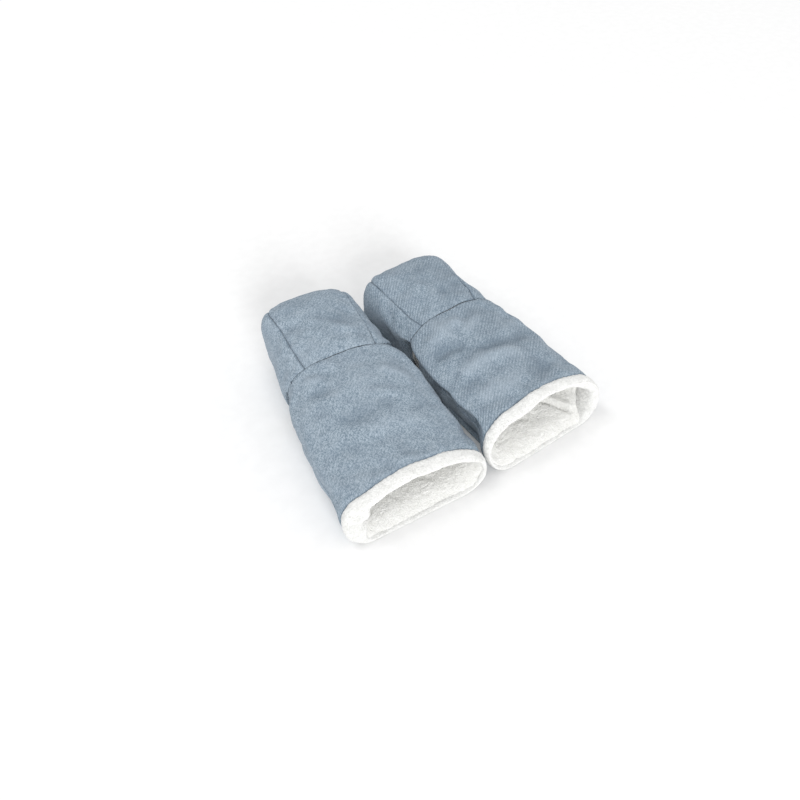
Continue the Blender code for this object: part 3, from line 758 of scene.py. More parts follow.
def cuff_points(us, pose):
    """The plush turned out and rolled round the cuff. Rows go round the roll's own section, from its edge under the
    cloth over the outside and the lip to the inside. Along the sole it runs on into the lining without a step, so that
    only the upper lip stands out as a fold; at the outboard end it is bunched."""
    x, z = section(us, 0.0, 0.0, 0.0, pose)
    up = smooth((z / pose["cuff"] - 0.22) / 0.50)
    side = 1.0 if pose["x"] > 0.0 else -1.0
    start = 0.62 if side < 0.0 else 0.46
    end = smooth((side * x / SLEEVE[0, 1] - start - 0.13 * (1.0 - up)) / (0.92 - start - 0.08 * (1.0 - up)))
    name = "right" if pose["x"] > 0.0 else "left"
    thick = ROLL_SOLE + (ROLL_TOP - ROLL_SOLE) * up
    thick = thick + (ROLL_END[name] - thick) * end
    reach = 0.0130 + 0.0030 * up + 0.0180 * end
    last = 0.0042 + 0.0024 * up
    last = last + (0.0070 - last) * end
    one = np.ones_like(thick)
    seen = CLOTH_START
    control = [((seen + 0.0010) * one, 0.0024 * one), ((seen - 0.0012) * one, 0.0003 * one),
               (0.55 * seen * one, -0.0004 * one), (0.14 * seen * one, 0.0006 * one),
               (-0.0002 * one, 0.30 * thick), (0.0 * one, 0.70 * thick), (0.0032 * one, thick),
               (0.0085 + 0.0120 * end, 0.9 * thick + 0.1 * last), (reach, last),
               (reach - 0.0012, last - 0.0006), (0.0120 * one, 0.0040 * one), (seen + 0.0002 * one, 0.0036 * one)]
    control = np.array(control)                                    # place, (y, depth), column
    at = np.concatenate([np.arange(0.0, 1.0, 0.5), np.arange(1.0, 4.0, 0.24), np.arange(4.0, 6.0, 0.22),
                         np.arange(6.0, 8.0, 0.10), np.arange(8.0, 12.0, 0.5)])
    levels = np.linspace(0.0, 0.045, 19)
    skin = np.array([section(us, level, 0.0, 0.0, pose) for level in levels])              # level, (x, z), column
    deep = np.array([section(us, level, ROLL_THICK, 0.0, pose) for level in levels])
    column = np.arange(len(us))
    rows = np.zeros((len(at), len(us), 3))
    for i, t in enumerate(at):
        k, f = int(t), t - int(t)
        weights = ((1 - f) ** 3 / 6, (3 * f ** 3 - 6 * f * f + 4) / 6, (-3 * f ** 3 + 3 * f * f + 3 * f + 1) / 6, f ** 3 / 6)
        y, depth = sum(w * control[(k + j - 1) % len(control)] for j, w in enumerate(weights))
        place = np.clip(y, 0.0, 0.0449) / 0.0025
        low = place.astype(int)
        g = place - low
        q = depth / ROLL_THICK
        for axis, into in ((0, 0), (1, 2)):
            a = skin[low, axis, column] * (1.0 - g) + skin[low + 1, axis, column] * g
            b = deep[low, axis, column] * (1.0 - g) + deep[low + 1, axis, column] * g
            rows[i, :, into] = a + (b - a) * q
        rows[i, :, 1] = y
    return lean(rows, pose)


# ----------------------------------------------------------------------
# One mitt
# ----------------------------------------------------------------------
def to_mitt(pts, pose):
    t = math.radians(pose["turn"])
    c, s = math.cos(t), math.sin(t)
    dx, dy = pts[..., 0] - pose["x"], pts[..., 1] - pose["y"]
    out = np.array(pts, float)
    out[..., 0], out[..., 1] = c * dx + s * dy, -s * dx + c * dy
    return out


def turn_with_hood(obj, side):
    """Bakes the piece's placement into its mesh, works out two points across the cross seam at the hinge's height, and
    takes the piece's points into the mitt's own frame; none of these is used further."""
    pose = POSES[side]
    reach = 0.030
    start, end = (to_row(np.array([0.0, JOIN_Y + d, HINGE_Z]), pose) for d in (-reach, reach))
    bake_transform(obj)
    co = np.zeros(len(obj.data.vertices) * 3)
    obj.data.vertices.foreach_get("co", co)
    p = to_mitt(co.reshape(-1, 3), pose)


def sheet_uv(P):
    """Metres of cloth from the middle place of each row, and from the first row."""
    s = arc_u(P)
    mid = P.shape[1] // 2
    return np.stack([s - s[:, mid:mid + 1], np.repeat(arc_v(P)[:, mid:mid + 1], P.shape[1], 1)], -1)


def cloth_from_rows(name, body, extra_first, extra_last, mat, side, seam, shift, thick=0.0009, fold=None):
    """Closed cloth from the relief grid and its turned-in rows, in row coordinates."""
    parts = [g for g in (extra_first, body, extra_last) if g is not None]
    P = np.concatenate(parts)
    N = normals(P)
    first = 0 if extra_first is None else len(extra_first)
    uv_body = sheet_uv(body)
    uv = np.zeros(P.shape[:2] + (2,))
    uv[first:first + len(body)] = uv_body
    # nearness to the seams, for the material's seam darkening, partly painted shade; the turned-in rows are darkened
    # too
    s = np.zeros(P.shape[:2])
    s[first:first + len(body)] = seam
    # fold height kept for the material, which paints shade in the hollows and light on the ridges from it
    f = np.full(P.shape[:2], 0.5)
    f[first:first + len(body)] = 0.5 + 0.5 * np.clip(fold / 0.0040, -1.0, 1.0)
    if extra_first is not None:
        step = np.cumsum(np.linalg.norm(np.diff(P[:first + 1], axis=0), axis=-1)[::-1], axis=0)[::-1]
        uv[:first, :, 0] = uv_body[0, :, 0]
        uv[:first, :, 1] = uv_body[0, :, 1] - step
        s[:first] = np.maximum(seam[0], 0.6)
    if extra_last is not None:
        step = np.cumsum(np.linalg.norm(np.diff(P[first + len(body) - 1:], axis=0), axis=-1), axis=0)
        uv[first + len(body):, :, 0] = uv_body[-1, :, 0]
        uv[first + len(body):, :, 1] = uv_body[-1, :, 1] + step
        s[first + len(body):] = np.maximum(seam[-1], 0.6)
    uv = uv + np.array(shift)
    verts, faces = closed_sheet(P, P - N * thick)
    verts = to_row(verts, POSES[side])
    uv = uv.reshape(-1, 2)
    return add_piece(name, verts, faces, mat, np.concatenate([uv, uv]), np.concatenate([s.ravel(), s.ravel()]),
                     np.concatenate([f.ravel(), f.ravel()]))


def near(d, width):
    return np.exp(-(d / width) ** 1.5)


def sleeve_pad(us, ys, P, side, fields):
    """Swelling and unevenness of the sleeve at a grid, before seams."""
    h = broad_relief(P, side)
    if fields is not None:
        cu, cy, field = fields["sleeve"]
        f = blur(capped(field, 0.0030, 0.0048), 1, wrap=True)
        col = np.mod(us, 24.0) / 0.25
        row = (np.clip(ys, cy[0], cy[-1]) - cy[0]) / (cy[1] - cy[0])
        h = h + sample(f, row[:, None], col[None, :], wrap=True)
    else:
        t = np.clip((ys - BODY_START) / (JOIN_Y - BODY_START), 0.0, 1.0)[:, None]
        h = h + 0.0022 * (4.0 * t * (1.0 - t)) ** 0.5 * smooth((P[..., 2] - 0.006) / 0.03)
    flat = smooth((P[..., 2] - sole_level(ys)[:, None] - 0.0012) / 0.006)
    return h * flat


def sole_level(ys):
    return np.array([sole_lift(y) for y in ys])


def sleeve_cloth(side, which, first, last, mat, fields, salt):
    pose = POSES[side]
    ends = (0.012, 0.035, 0.065, 0.10, 0.145)
    us = spread(first + 0.008, last - 0.008, 1.0 / PER, (ends, ends))
    d = (0.0002, 0.0005, 0.0009, 0.0014, 0.002)
    ys = spread(CLOTH_START, JOIN_Y, STEP, (d, d))
    P = shape_fix(sleeve_grid(us, ys, 0.0, pose), side)
    s, s_end = edge_distance(P)
    along = arc_v(P)
    h = sleeve_pad(us, ys, P, side, fields)
    d_side = np.minimum(s, s_end)
    h = h + seam_relief(d_side, along + 0.31 * salt, 0.0013, 0.0010, 0.0007, 0.00026, salt)
    d_cuff, d_join = along, along[-1:] - along
    seamed = smooth((P[-1, :, 2] - slot_top(us, pose) + 0.003) / 0.006)[None, :]
    h = h + seam_relief(d_cuff, s, 0.0012, 0.0016, 0.0006, 0.00045, salt + 1)
    h = h + seamed * seam_relief(d_join, s, JOIN_GROOVE[side], 0.0009, 0.0007, 0.00058, salt + 2)
    h = h - (1.0 - seamed) * 0.0005 * np.exp(-(d_join / 0.002) ** 1.5)
    Q = place_on(P, h)
    N = normals(Q)
    top = seamed[0]
    deep = (D2 + 0.0002) * (1.0 - top) + 0.0016 * top
    under = (us > 11.8) & (us < 18.2)
    deep = np.where(under, 0.0012, deep)
    last_rows = rim_rows(Q, N, True, 0.0009 * (1.0 - top) + 0.00012 * top, deep)
    first_rows = rim_rows(Q, N, False, 0.0034 * np.ones(len(us)), 0.0036 * np.ones(len(us)))[::-1]
    seam = np.clip(0.75 * near(d_side, 0.0011) + 0.8 * near(d_cuff, 0.0012) + JOIN_TONE[side] * seamed * near(d_join, 0.0009), 0.0, 1.0)
    name = f"{side}_sleeve_{which}_cloth"
    obj = cloth_from_rows(name, Q, first_rows, last_rows, mat, side, seam, (0.05 * salt, 0.0), fold=broad_relief(P, side))
    return obj, h, us, ys


def gusset_cloth(side, place, mat, fields, salt):
    """Cloth over the hood's left or right side."""
    pose = POSES[side]
    outboard = "left" if pose["x"] < 0.0 else "right"
    first = 6.0 if place == "left" else 18.0
    ends = (0.012, 0.035, 0.065, 0.10, 0.145)
    us = spread(first + 0.008, first + 6.0 - 0.008, 1.0 / PER, (ends, ends))
    rows = gusset_rows(STEP)
    rows = rows[:1] + [("y", JOIN_Y + v) for v in (0.0003, 0.0007)] + rows[1:]
    rows = rows[:-1] + [("a", RIM - v) for v in (1.6, 0.8)] + [("a", RIM - 0.3)]
    P = shape_fix(gusset_grid(us, rows, pose), side)
    s, s_end = edge_distance(P)
    along = arc_v(P)
    h = broad_relief(P, side)
    if fields is not None:
        cu, crows, field = fields["gusset_" + place]
        f = blur(capped(field, 0.0030, 0.0042), 1)
        h = h + sample(f, row_index(rows, crows)[:, None], ((us - cu[0]) / (cu[1] - cu[0]))[None, :])
    d_side = np.minimum(s, s_end)
    d_toe, d_join = along[-1:] - along, along
    seamed = smooth((P[0, :, 2] - slot_top(us, pose) + 0.003) / 0.006)[None, :]
    h = h + seam_relief(d_side, along + 0.17 * salt, 0.0013, 0.0011, 0.0008, 0.00058, salt)
    h = h + seam_relief(d_toe, s, 0.0013, 0.0011, 0.0008, 0.00058, salt + 1)
    h = h + seamed * seam_relief(d_join, s, JOIN_GROOVE[side], 0.0009, 0.0007, 0.00058, salt + 2)
    h = h - (1.0 - seamed) * 0.0005 * np.exp(-(d_join / 0.002) ** 1.5)
    h = np.where(h > 0, h * smooth((P[..., 2] - 0.0008) / 0.006), h)
    Q = place_on(P, h)
    N = normals(Q)
    top = seamed[0]
    deep = (D2 + 0.0002) * (1.0 - top) + 0.0016 * top
    first_rows = rim_rows(Q, N, False, 0.0009 * (1.0 - top) + 0.00012 * top, deep)[::-1]
    seam = np.clip(near(d_side, 0.0012) + near(d_toe, 0.0012) + JOIN_TONE[side] * seamed * near(d_join, 0.0009), 0.0, 1.0)
    kind = "outer" if place == outboard else "inner"
    obj = cloth_from_rows(f"{side}_{kind}_gusset_cloth", Q, first_rows, None, mat, side, seam, (0.05 * salt, 0.0),
                          fold=broad_relief(P, side))
    return obj, kind


def row_index(rows, coarse):
    """Fractional coarse row for each fine row of a gusset."""
    def length(row):
        kind, v = row
        return v - JOIN_Y if kind == "y" else TOE_Y - JOIN_Y + math.radians(v) * TOE_RADIUS
    c = [length(r) for r in coarse]
    return np.interp([length(r) for r in rows], c, np.arange(len(c)))


def strip_cloth(side, mat, fields, salt):
    """Cloth over the hood's top, toe and sole, and on as the under flap."""
    ends = (0.012, 0.035, 0.065, 0.10, 0.145)
    us = spread(0.008, 5.992, 1.0 / PER, (ends, ends))
    fa = us / 6.0
    pose = POSES[side]
    P, face_at, sole_at = strip_rows(fa, STEP, pose)
    P = shape_fix(P, side)
    s, s_end = edge_distance(P)
    along = arc_v(P)
    mid = along[:, along.shape[1] // 2]
    h = broad_relief(P, side)
    if fields is not None:
        cfa, _, field = fields["strip"]
        coarse, cf, cs = strip_rows(cfa, 0.0042, pose)
        cmid = arc_v(coarse)[:, coarse.shape[1] // 2]
        f = blur(capped(field, 0.0030, 0.0045), 1)
        row = np.interp(mid / mid[-1], cmid / cmid[-1], np.arange(len(cmid)))
        h = h + sample(f, row[:, None], (fa * (len(cfa) - 1))[None, :])
    d_side = np.minimum(s, s_end)
    on_flap = smooth((along - (mid[sole_at] + (TOE_Y - JOIN_Y) + 0.02)) / 0.01) * (np.arange(len(P)) > sole_at)[:, None]
    raised = smooth((P[..., 2] - 0.0008) / 0.006)
    h = h * np.where(np.arange(len(P))[:, None] >= sole_at, raised, 1.0)
    h = h + (1.0 - on_flap) * seam_relief(d_side, along + 0.23 * salt, 0.0013, 0.0011, 0.0008, 0.00058, salt)
    h = h + seam_relief(along, s, JOIN_GROOVE[side], 0.0009, 0.0007, 0.00058, salt + 2)
    low = np.where(np.arange(len(P))[:, None] >= sole_at + 20, 0.0, 1.0)
    h = np.where(h > 0, h * np.maximum(low, raised), h)
    Q = place_on(P, h)
    Q[..., 2] = np.maximum(Q[..., 2], 0.00005)
    N = normals(Q)
    first_rows = rim_rows(Q, N, False, 0.00012 * np.ones(len(us)), 0.0016 * np.ones(len(us)))[::-1]
    seam = np.clip((1.0 - on_flap) * near(d_side, 0.0012) + JOIN_TONE[side] * near(along, 0.0009), 0.0, 1.0)
    return cloth_from_rows(f"{side}_hood_cloth", Q, first_rows, None, mat, side, seam, (0.05 * salt, 0.0), thick=0.00085,
                           fold=broad_relief(P, side))


def tube_layer(name, side, outer_depth, inner_depth, per, step, mat, fields, relief=None, first=BODY_START, lip=0.0, taper=0.0):
    """A closed tube of wadding or plush inside the sleeve."""
    pose = POSES[side]
    us = np.arange(0, 24, 1.0 / per)
    ys = spread(first, JOIN_Y, step)
    outer = shape_fix(sleeve_grid(us, ys, outer_depth, pose), side)
    inner = shape_fix(sleeve_grid(us, ys, inner_depth, pose), side)
    base = shape_fix(sleeve_grid(us, ys, 0.0, pose), side)
    h = sleeve_pad(us, ys, base, side, fields)
    N = normals(outer, True)
    h = np.clip(h, -0.0080, 0.003)[..., None]
    outer = outer + N * h
    inner = inner + N * np.where(h > 0.0, 0.7 * h, h)
    if taper:
        # thinner towards the mouth, where it runs out over the roll
        rise = taper * (1.0 - np.clip((ys - first) / 0.0238, 0.0, 1.0)) ** 2
        inner = inner + N * rise[:, None, None]
        outer = outer + N * np.maximum(0.0, rise - 0.0025)[:, None, None]
    if lip:
        outer, inner = with_lip(outer, inner, lip, True)
    if relief is not None:
        n_in = -normals(inner, True)
        inner = inner + n_in * relief(inner)[..., None]
    verts, faces = closed_sheet(outer, inner, wrap=True)
    return add_piece(name, to_row(verts, pose), faces, mat)


def with_lip(outer, inner, lip, last):
    """A rounded edge that stands out of the slots a little, on the last or first row."""
    k = -1 if last else 0
    z = outer[k, :, 2]
    open_slot = smooth((SLOT_TOP + 0.002 - z) / 0.006) * smooth((z - 0.006) / 0.006)
    step = (outer[-1] - outer[-3]) if last else (outer[0] - outer[2])
    t = step / np.maximum(np.linalg.norm(step, axis=-1, keepdims=True), 1e-9)
    mid = 0.5 * (outer[k] + inner[k])
    rows_o, rows_i = [], []
    for e, w in ((0.35, 0.95), (0.70, 0.72), (0.92, 0.42), (1.0, 0.15)):
        go = t * (lip * open_slot * e + 0.0004 * e)[:, None]
        rows_o.append(mid + (outer[k] - mid) * w + go)
        rows_i.append(mid + (inner[k] - mid) * w + go)
    if last:
        return np.concatenate([outer, rows_o]), np.concatenate([inner, rows_i])
    return np.concatenate([rows_o[::-1], outer]), np.concatenate([rows_i[::-1], inner])


def pocket_layer(name, side, outer_depth, inner_depth, per, step, mat, relief=None, lip=0.0):
    """A closed pocket of wadding or plush inside the hood: tube and toe in one."""
    pose = POSES[side]
    us = np.arange(0, 24, 1.0 / per)
    n = 6 * per
    fa = np.linspace(0.0, 1.0, n + 1)
    rows = gusset_rows(step)
    tubes, caps = [], []
    for depth in (outer_depth, inner_depth):
        tubes.append(shape_fix(gusset_grid(us, rows, pose, depth), side))
        caps.append(shape_fix(toe_face(n, n, depth, RIM, across=fa, down=fa), side))
    if lip:
        a, b = with_lip(tubes[0], tubes[1], lip, False)
        tubes = [a, b]
    if relief is not None:
        tubes[1] = tubes[1] - normals(tubes[1], True) * relief(tubes[1])[..., None]
        inner_cap = caps[1][1:-1, 1:-1]
        inner_cap[..., 1] -= relief(inner_cap)
    count = len(tubes[0])
    cols = len(us)
    ring = (count - 1) * cols
    verts, faces, base = [], [], 0
    for k in (0, 1):
        index = np.full((n + 1, n + 1), -1)
        places = np.arange(n + 1)
        index[0, places] = ring + places % cols
        index[places, n] = ring + (n + places) % cols
        index[n, n - places] = ring + (2 * n + places) % cols
        index[n - places, 0] = ring + (3 * n + places) % cols
        inside = np.arange((n - 1) * (n - 1)).reshape(n - 1, n - 1) + count * cols
        index[1:-1, 1:-1] = inside
        verts += [tubes[k].reshape(-1, 3), caps[k][1:-1, 1:-1].reshape(-1, 3)]
        a, b, c, d = index[:-1, :-1], index[1:, :-1], index[1:, 1:], index[:-1, 1:]
        cap_faces = np.stack([a, b, c, d], -1).reshape(-1, 4)
        tube_faces = grid_faces(count, cols, 0, wrap=True, flip=(k == 1))
        if k == 1:
            cap_faces = cap_faces[:, ::-1]
        faces += [tube_faces + base, cap_faces + base]
        base += count * cols + (n - 1) * (n - 1)
    half = base // 2
    c = np.arange(cols)
    d = (c + 1) % cols
    faces.append(np.stack([c, d, half + d, half + c], -1))
    return add_piece(name, to_row(np.concatenate(verts), pose), np.concatenate(faces), mat)


def tape_piece(name, side, z_low, mat, salt, bristle):
    """Sewn fastening tape with rounded corners; its face carries rows of hooks or a nap of loops."""
    xs = np.linspace(-0.5 * TAPE_W, 0.5 * TAPE_W, 101)
    ys = np.linspace(-0.5 * TAPE_L, 0.5 * TAPE_L, 35)
    X, Y = np.meshgrid(xs[::-1], ys)
    r = 0.003
    over = np.maximum(np.abs(Y) - (0.5 * TAPE_L - r), 0.0) / r
    X = X * (1.0 - (r / (0.5 * TAPE_W)) * (1.0 - np.sqrt(np.maximum(1.0 - over ** 2, 0.0))))
    top = np.stack([X, Y + TAPE_Y, np.full_like(X, z_low + TAPE_T)], -1)
    low = top.copy()
    low[..., 2] = z_low
    edge = smooth(np.minimum(0.5 * TAPE_W - np.abs(X), 0.5 * TAPE_L - np.abs(Y)) / 0.0016)
    nap = 0.00022 * (0.5 + 0.5 * value_noise(top, 0.0011, salt)) * edge
    if bristle > 0:
        top[..., 2] += -0.00030 + nap
    else:
        low[..., 2] += 0.00030 - nap
    verts, faces = closed_sheet(top, low)
    return add_piece(name, to_row(verts, POSES[side]), faces, mat)


def on_cloth(place, cloths, pose):
    """The cloth's point beside a place, at about that place's height, in the mitt's own frame."""
    points = []
    for obj in cloths:
        co = np.zeros(len(obj.data.vertices) * 3)
        obj.data.vertices.foreach_get("co", co)
        points.append(to_mitt(co.reshape(-1, 3), pose))
    points = np.concatenate(points)
    away = (points - place) * np.array([1.0, 1.0, 4.0])
    return points[np.argmin((away ** 2).sum(1))]


def bartack(name, side, centre, along, out_dir, mat):
    """Short dense bar of stitches over the upper end of a slot, in near-black thread that also stands in for the shade
    there: partly painted shade.
    """
    along = np.array(along) / np.linalg.norm(along)
    out_dir = np.array(out_dir) / np.linalg.norm(out_dir)
    cross = np.cross(out_dir, along)
    n, m = 49, 20
    t = np.linspace(-1.0, 1.0, n)
    a = np.linspace(0.0, 2 * math.pi, m, endpoint=False)
    T, A = np.meshgrid(t, a, indexing="ij")
    taper = np.sqrt(np.maximum(1.0 - T ** 6, 0.0)) * (1.0 + 0.10 * np.cos(T * 9 * math.pi))
    p = (np.array(centre)[None, None] + along * (0.0020 * T)[..., None]
         + cross * (0.00105 * taper * np.cos(A))[..., None] + out_dir * (0.00075 * taper * np.sin(A))[..., None])
    verts = list(p.reshape(-1, 3))
    faces = []
    for i in range(n - 1):
        for j in range(m):
            k = (j + 1) % m
            faces.append((i * m + j, i * m + k, (i + 1) * m + k, (i + 1) * m + j))
    faces = [tuple(f) for f in faces]
    mesh = bpy.data.meshes.new(name)
    mesh.from_pydata([tuple(v) for v in to_row(np.array(verts), POSES[side])], [],
                     faces + [tuple(range(m))[::-1], tuple((n - 1) * m + j for j in range(m))])
    mesh.validate()
    mesh.shade_smooth()
    mesh.materials.append(mat)
    obj = bpy.data.objects.new(name, mesh)
    bpy.context.scene.collection.objects.link(obj)
    return obj


# ----------------------------------------------------------------------
# Materials
# ----------------------------------------------------------------------
class Nodes:
    """Short-hand for building a material's node tree."""

    def __init__(self, name):
        self.mat = bpy.data.materials.new(name)
        self.mat.use_nodes = True
        self.tree = self.mat.node_tree
        self.shader = self.tree.nodes["Principled BSDF"]

    def put(self, target, value):
        if isinstance(value, bpy.types.NodeSocket):
            self.tree.links.new(value, target)
        else:
            target.default_value = value

    def math(self, op, a, b=None, c=None):
        node = self.tree.nodes.new("ShaderNodeMath")
        node.operation = op
        for socket, value in zip(node.inputs, (a, b, c)):
            if value is not None:
                self.put(socket, value)
        return node.outputs[0]

    def uv(self, angle=0.0, scale=(1.0, 1.0), shift=(0.0, 0.0)):
        """The cloth's own coordinates in metres, turned and scaled."""
        node = self.tree.nodes.new("ShaderNodeUVMap")
        node.uv_map = "Weave"
        return self.mapped(node.outputs[0], angle, (scale[0], scale[1], 1.0), (shift[0], shift[1], 0.0))

    def mapped(self, vector, angle, scale, shift=(0.0, 0.0, 0.0)):
        node = self.tree.nodes.new("ShaderNodeMapping")
        self.put(node.inputs["Vector"], vector)
        node.inputs["Location"].default_value = shift
        node.inputs["Rotation"].default_value = (0.0, 0.0, angle)
        node.inputs["Scale"].default_value = scale
        return node.outputs[0]

    def place(self):
        return self.tree.nodes.new("ShaderNodeTexCoord").outputs["Object"]

    def noise(self, vector, scale, detail=2.0, rough=0.5, flat=True):
        node = self.tree.nodes.new("ShaderNodeTexNoise")
        node.noise_dimensions = "2D" if flat else "3D"
        self.put(node.inputs["Vector"], vector)
        node.inputs["Scale"].default_value = scale
        node.inputs["Detail"].default_value = detail
        node.inputs["Roughness"].default_value = rough
        return node.outputs[0]

    def wave(self, vector, period, distortion=0.0, detail_scale=1.0):
        node = self.tree.nodes.new("ShaderNodeTexWave")
        node.wave_type, node.bands_direction = "BANDS", "X"
        self.put(node.inputs["Vector"], vector)
        node.inputs["Scale"].default_value = 0.314159 / period
        node.inputs["Distortion"].default_value = distortion
        node.inputs["Detail"].default_value = 1.0
        node.inputs["Detail Scale"].default_value = detail_scale
        return node.outputs[1]

    def span(self, value, low, high, a=0.0, b=1.0):
        node = self.tree.nodes.new("ShaderNodeMapRange")
        node.interpolation_type = "SMOOTHSTEP"
        for key, v in (("Value", value), ("From Min", low), ("From Max", high), ("To Min", a), ("To Max", b)):
            self.put(node.inputs[key], v)
        return node.outputs[0]

    def mix(self, fac, a, b):
        node = self.tree.nodes.new("ShaderNodeMix")
        node.data_type = "RGBA"
        self.put(node.inputs[0], fac)
        for socket, value in ((node.inputs[6], a), (node.inputs[7], b)):
            self.put(socket, value if isinstance(value, bpy.types.NodeSocket) else (*value, 1.0))
        return node.outputs[2]

    def attribute(self, name):
        node = self.tree.nodes.new("ShaderNodeAttribute")
        node.attribute_name = name
        return node.outputs["Fac"]

    def bump(self, height, distance, strength=1.0, under=None):
        node = self.tree.nodes.new("ShaderNodeBump")
        self.put(node.inputs["Height"], height)
        node.inputs["Distance"].default_value = distance
        node.inputs["Strength"].default_value = strength
        if under is not None:
            self.put(node.inputs["Normal"], under)
        return node.outputs[0]

    def surface(self, color, rough, normal=None, sheen=0.0, sheen_rough=0.5, sheen_tint=(1, 1, 1), specular=0.3):
        s = self.shader
        self.put(s.inputs["Base Color"], color if isinstance(color, bpy.types.NodeSocket) else (*color, 1.0))
        self.put(s.inputs["Roughness"], rough)
        s.inputs["Specular IOR Level"].default_value = specular
        s.inputs["Sheen Weight"].default_value = sheen
        s.inputs["Sheen Roughness"].default_value = sheen_rough
        s.inputs["Sheen Tint"].default_value = (*sheen_tint, 1.0)
        if normal is not None:
            self.put(s.inputs["Normal"], normal)
        return self.mat


RIB_TURN = {"left": math.radians(-50.0), "right": math.radians(-50.0)}
RIB_PERIOD = 0.0035


def cloth_material(side, ribs):
    """Heathered blue-grey melange: slubby yarns both ways, flecks, and a fine diagonal rib."""
    n = Nodes(f"Heathered cloth {side}")
    flat = n.uv()
    warp = n.noise(n.uv(scale=(1 / 0.00075, 1 / 0.0042)), 1.0, 2.0, 0.55)
    weft = n.noise(n.uv(scale=(1 / 0.0036, 1 / 0.00075), shift=(7.3, 2.1)), 1.0, 2.0, 0.55)
    fleck = n.noise(n.uv(shift=(0.4, 0.9)), 1 / 0.0017, 1.0, 0.5)
    patch = n.noise(n.uv(shift=(1.7, 0.3)), 1 / 0.0062, 2.0, 0.55)
    broad = n.noise(n.uv(shift=(3.1, 5.2)), 1 / 0.038, 2.0, 0.5)
    tone = n.math("ADD", n.math("MULTIPLY", warp, 0.34), n.math("MULTIPLY", weft, 0.30))
    tone = n.math("ADD", tone, n.math("MULTIPLY", fleck, 0.24))
    tone = n.math("ADD", tone, n.math("MULTIPLY", patch, 0.12))
    light = n.span(tone, 0.42, 0.58)
    color = n.mix(light, (0.159, 0.212, 0.263), (0.370, 0.441, 0.508))
    # single pale and single dark fibres
    pale = n.span(n.noise(n.uv(scale=(1 / 0.0011, 1 / 0.0018), shift=(11.0, 4.0)), 1.0, 1.0), 0.66, 0.74)
    dark = n.span(n.noise(n.uv(scale=(1 / 0.0019, 1 / 0.0010), shift=(5.0, 17.0)), 1.0, 1.0), 0.66, 0.74)
    color = n.mix(n.math("MULTIPLY", pale, 0.60), color, (0.47, 0.54, 0.60))
    color = n.mix(n.math("MULTIPLY", dark, 0.60), color, (0.095, 0.135, 0.180))
    # worn and fresher areas
    area = n.noise(n.uv(shift=(8.1, 6.4)), 1 / 0.017, 2.0, 0.5)
    color = n.mix(n.span(area, 0.30, 0.50, 0.20, 0.0), color, (0.155, 0.195, 0.250))
    color = n.mix(n.span(area, 0.52, 0.72, 0.0, 0.16), color, (0.40, 0.455, 0.505))
    # the rib
    wave = n.wave(n.uv(angle=RIB_TURN[side]), RIB_PERIOD, 1.6, 2.2)
    fine = n.wave(n.uv(angle=RIB_TURN[side] + math.radians(90.0)), 0.0012, 1.0, 2.0)
    presence = n.span(broad, 0.38, 0.62, 0.55, 1.0)
    valley = n.math("MULTIPLY", n.math("MULTIPLY", n.math("SUBTRACT", 1.0, wave), presence), ribs)
    color = n.mix(valley, color, (0.100, 0.142, 0.186))
    color = n.mix(n.span(broad, 0.35, 0.68, 0.0, 0.10), color, (0.37, 0.43, 0.49))
    # painted shade and painted light: the cloth is darkened in the hollows of its folds and paled on their ridges,
    # standing in for the shading of the wrinkles
    fold = n.attribute("fold")
    color = n.mix(n.span(fold, 0.10, 0.48, 0.42, 0.0), color, (0.118, 0.160, 0.206))
    color = n.mix(n.span(fold, 0.52, 0.88, 0.0, 0.30), color, (0.405, 0.470, 0.535))
    # painted shade along the seams: the cloth is darkened beside each seam and on its turned-in edges, partly the
    # seam's own dark line and partly the shade of its groove, stronger in some stretches than others
    drawn = n.noise(n.uv(shift=(2.3, 9.1)), 1 / 0.016, 1.0, 0.5)
    seam = n.math("MULTIPLY", n.attribute("seam"), n.span(drawn, 0.38, 0.62, 0.16, 0.62))
    color = n.mix(seam, color, (0.085, 0.120, 0.165))
    rib_bump = n.bump(n.math("MULTIPLY", wave, presence), 0.00022 * (0.6 + 4.0 * ribs), 0.75)
    yarn = n.bump(n.math("ADD", tone, n.math("MULTIPLY", fine, 0.22)), 0.00040, 0.60, rib_bump)
    rough = n.span(tone, 0.35, 0.65, 0.96, 0.84)
    return n.surface(color, rough, yarn, sheen=0.16, sheen_rough=0.45, sheen_tint=(0.82, 0.90, 1.0), specular=0.22)


def plush_material(name, low_tone, high_tone):
    """Off-white plush: short pile in soft clumps, a little darker between them."""
    n = Nodes(name)
    at = n.place()
    lump = n.noise(at, 1 / 0.0065, 3.0, 0.6, flat=False)
    tuft = n.noise(at, 1 / 0.0019, 2.0, 0.6, flat=False)
    broad = n.noise(at, 1 / 0.030, 1.0, 0.5, flat=False)
    tone = n.math("ADD", n.math("MULTIPLY", lump, 0.5), n.math("MULTIPLY", tuft, 0.5))
    color = n.mix(n.span(tone, 0.36, 0.60), low_tone, high_tone)
    color = n.mix(n.span(broad, 0.35, 0.65, 0.0, 0.35), color, high_tone)
    hair = n.noise(at, 1 / 0.0007, 1.0, 0.5, flat=False)
    low = n.bump(tuft, 0.0016, 0.85)
    normal = n.bump(hair, 0.0007, 0.75, low)
    return n.surface(color, 1.0, normal, sheen=0.35, sheen_rough=0.6, specular=0.1)


def wadding_material():
    n = Nodes("White wadding")
    at = n.place()
    tone = n.noise(at, 1 / 0.004, 4.0, 0.65, flat=False)
    color = n.mix(n.span(tone, 0.35, 0.62), (0.70, 0.70, 0.69), (0.85, 0.85, 0.84))
    return n.surface(color, 1.0, n.bump(tone, 0.0012, 0.7), sheen=0.2, specular=0.1)


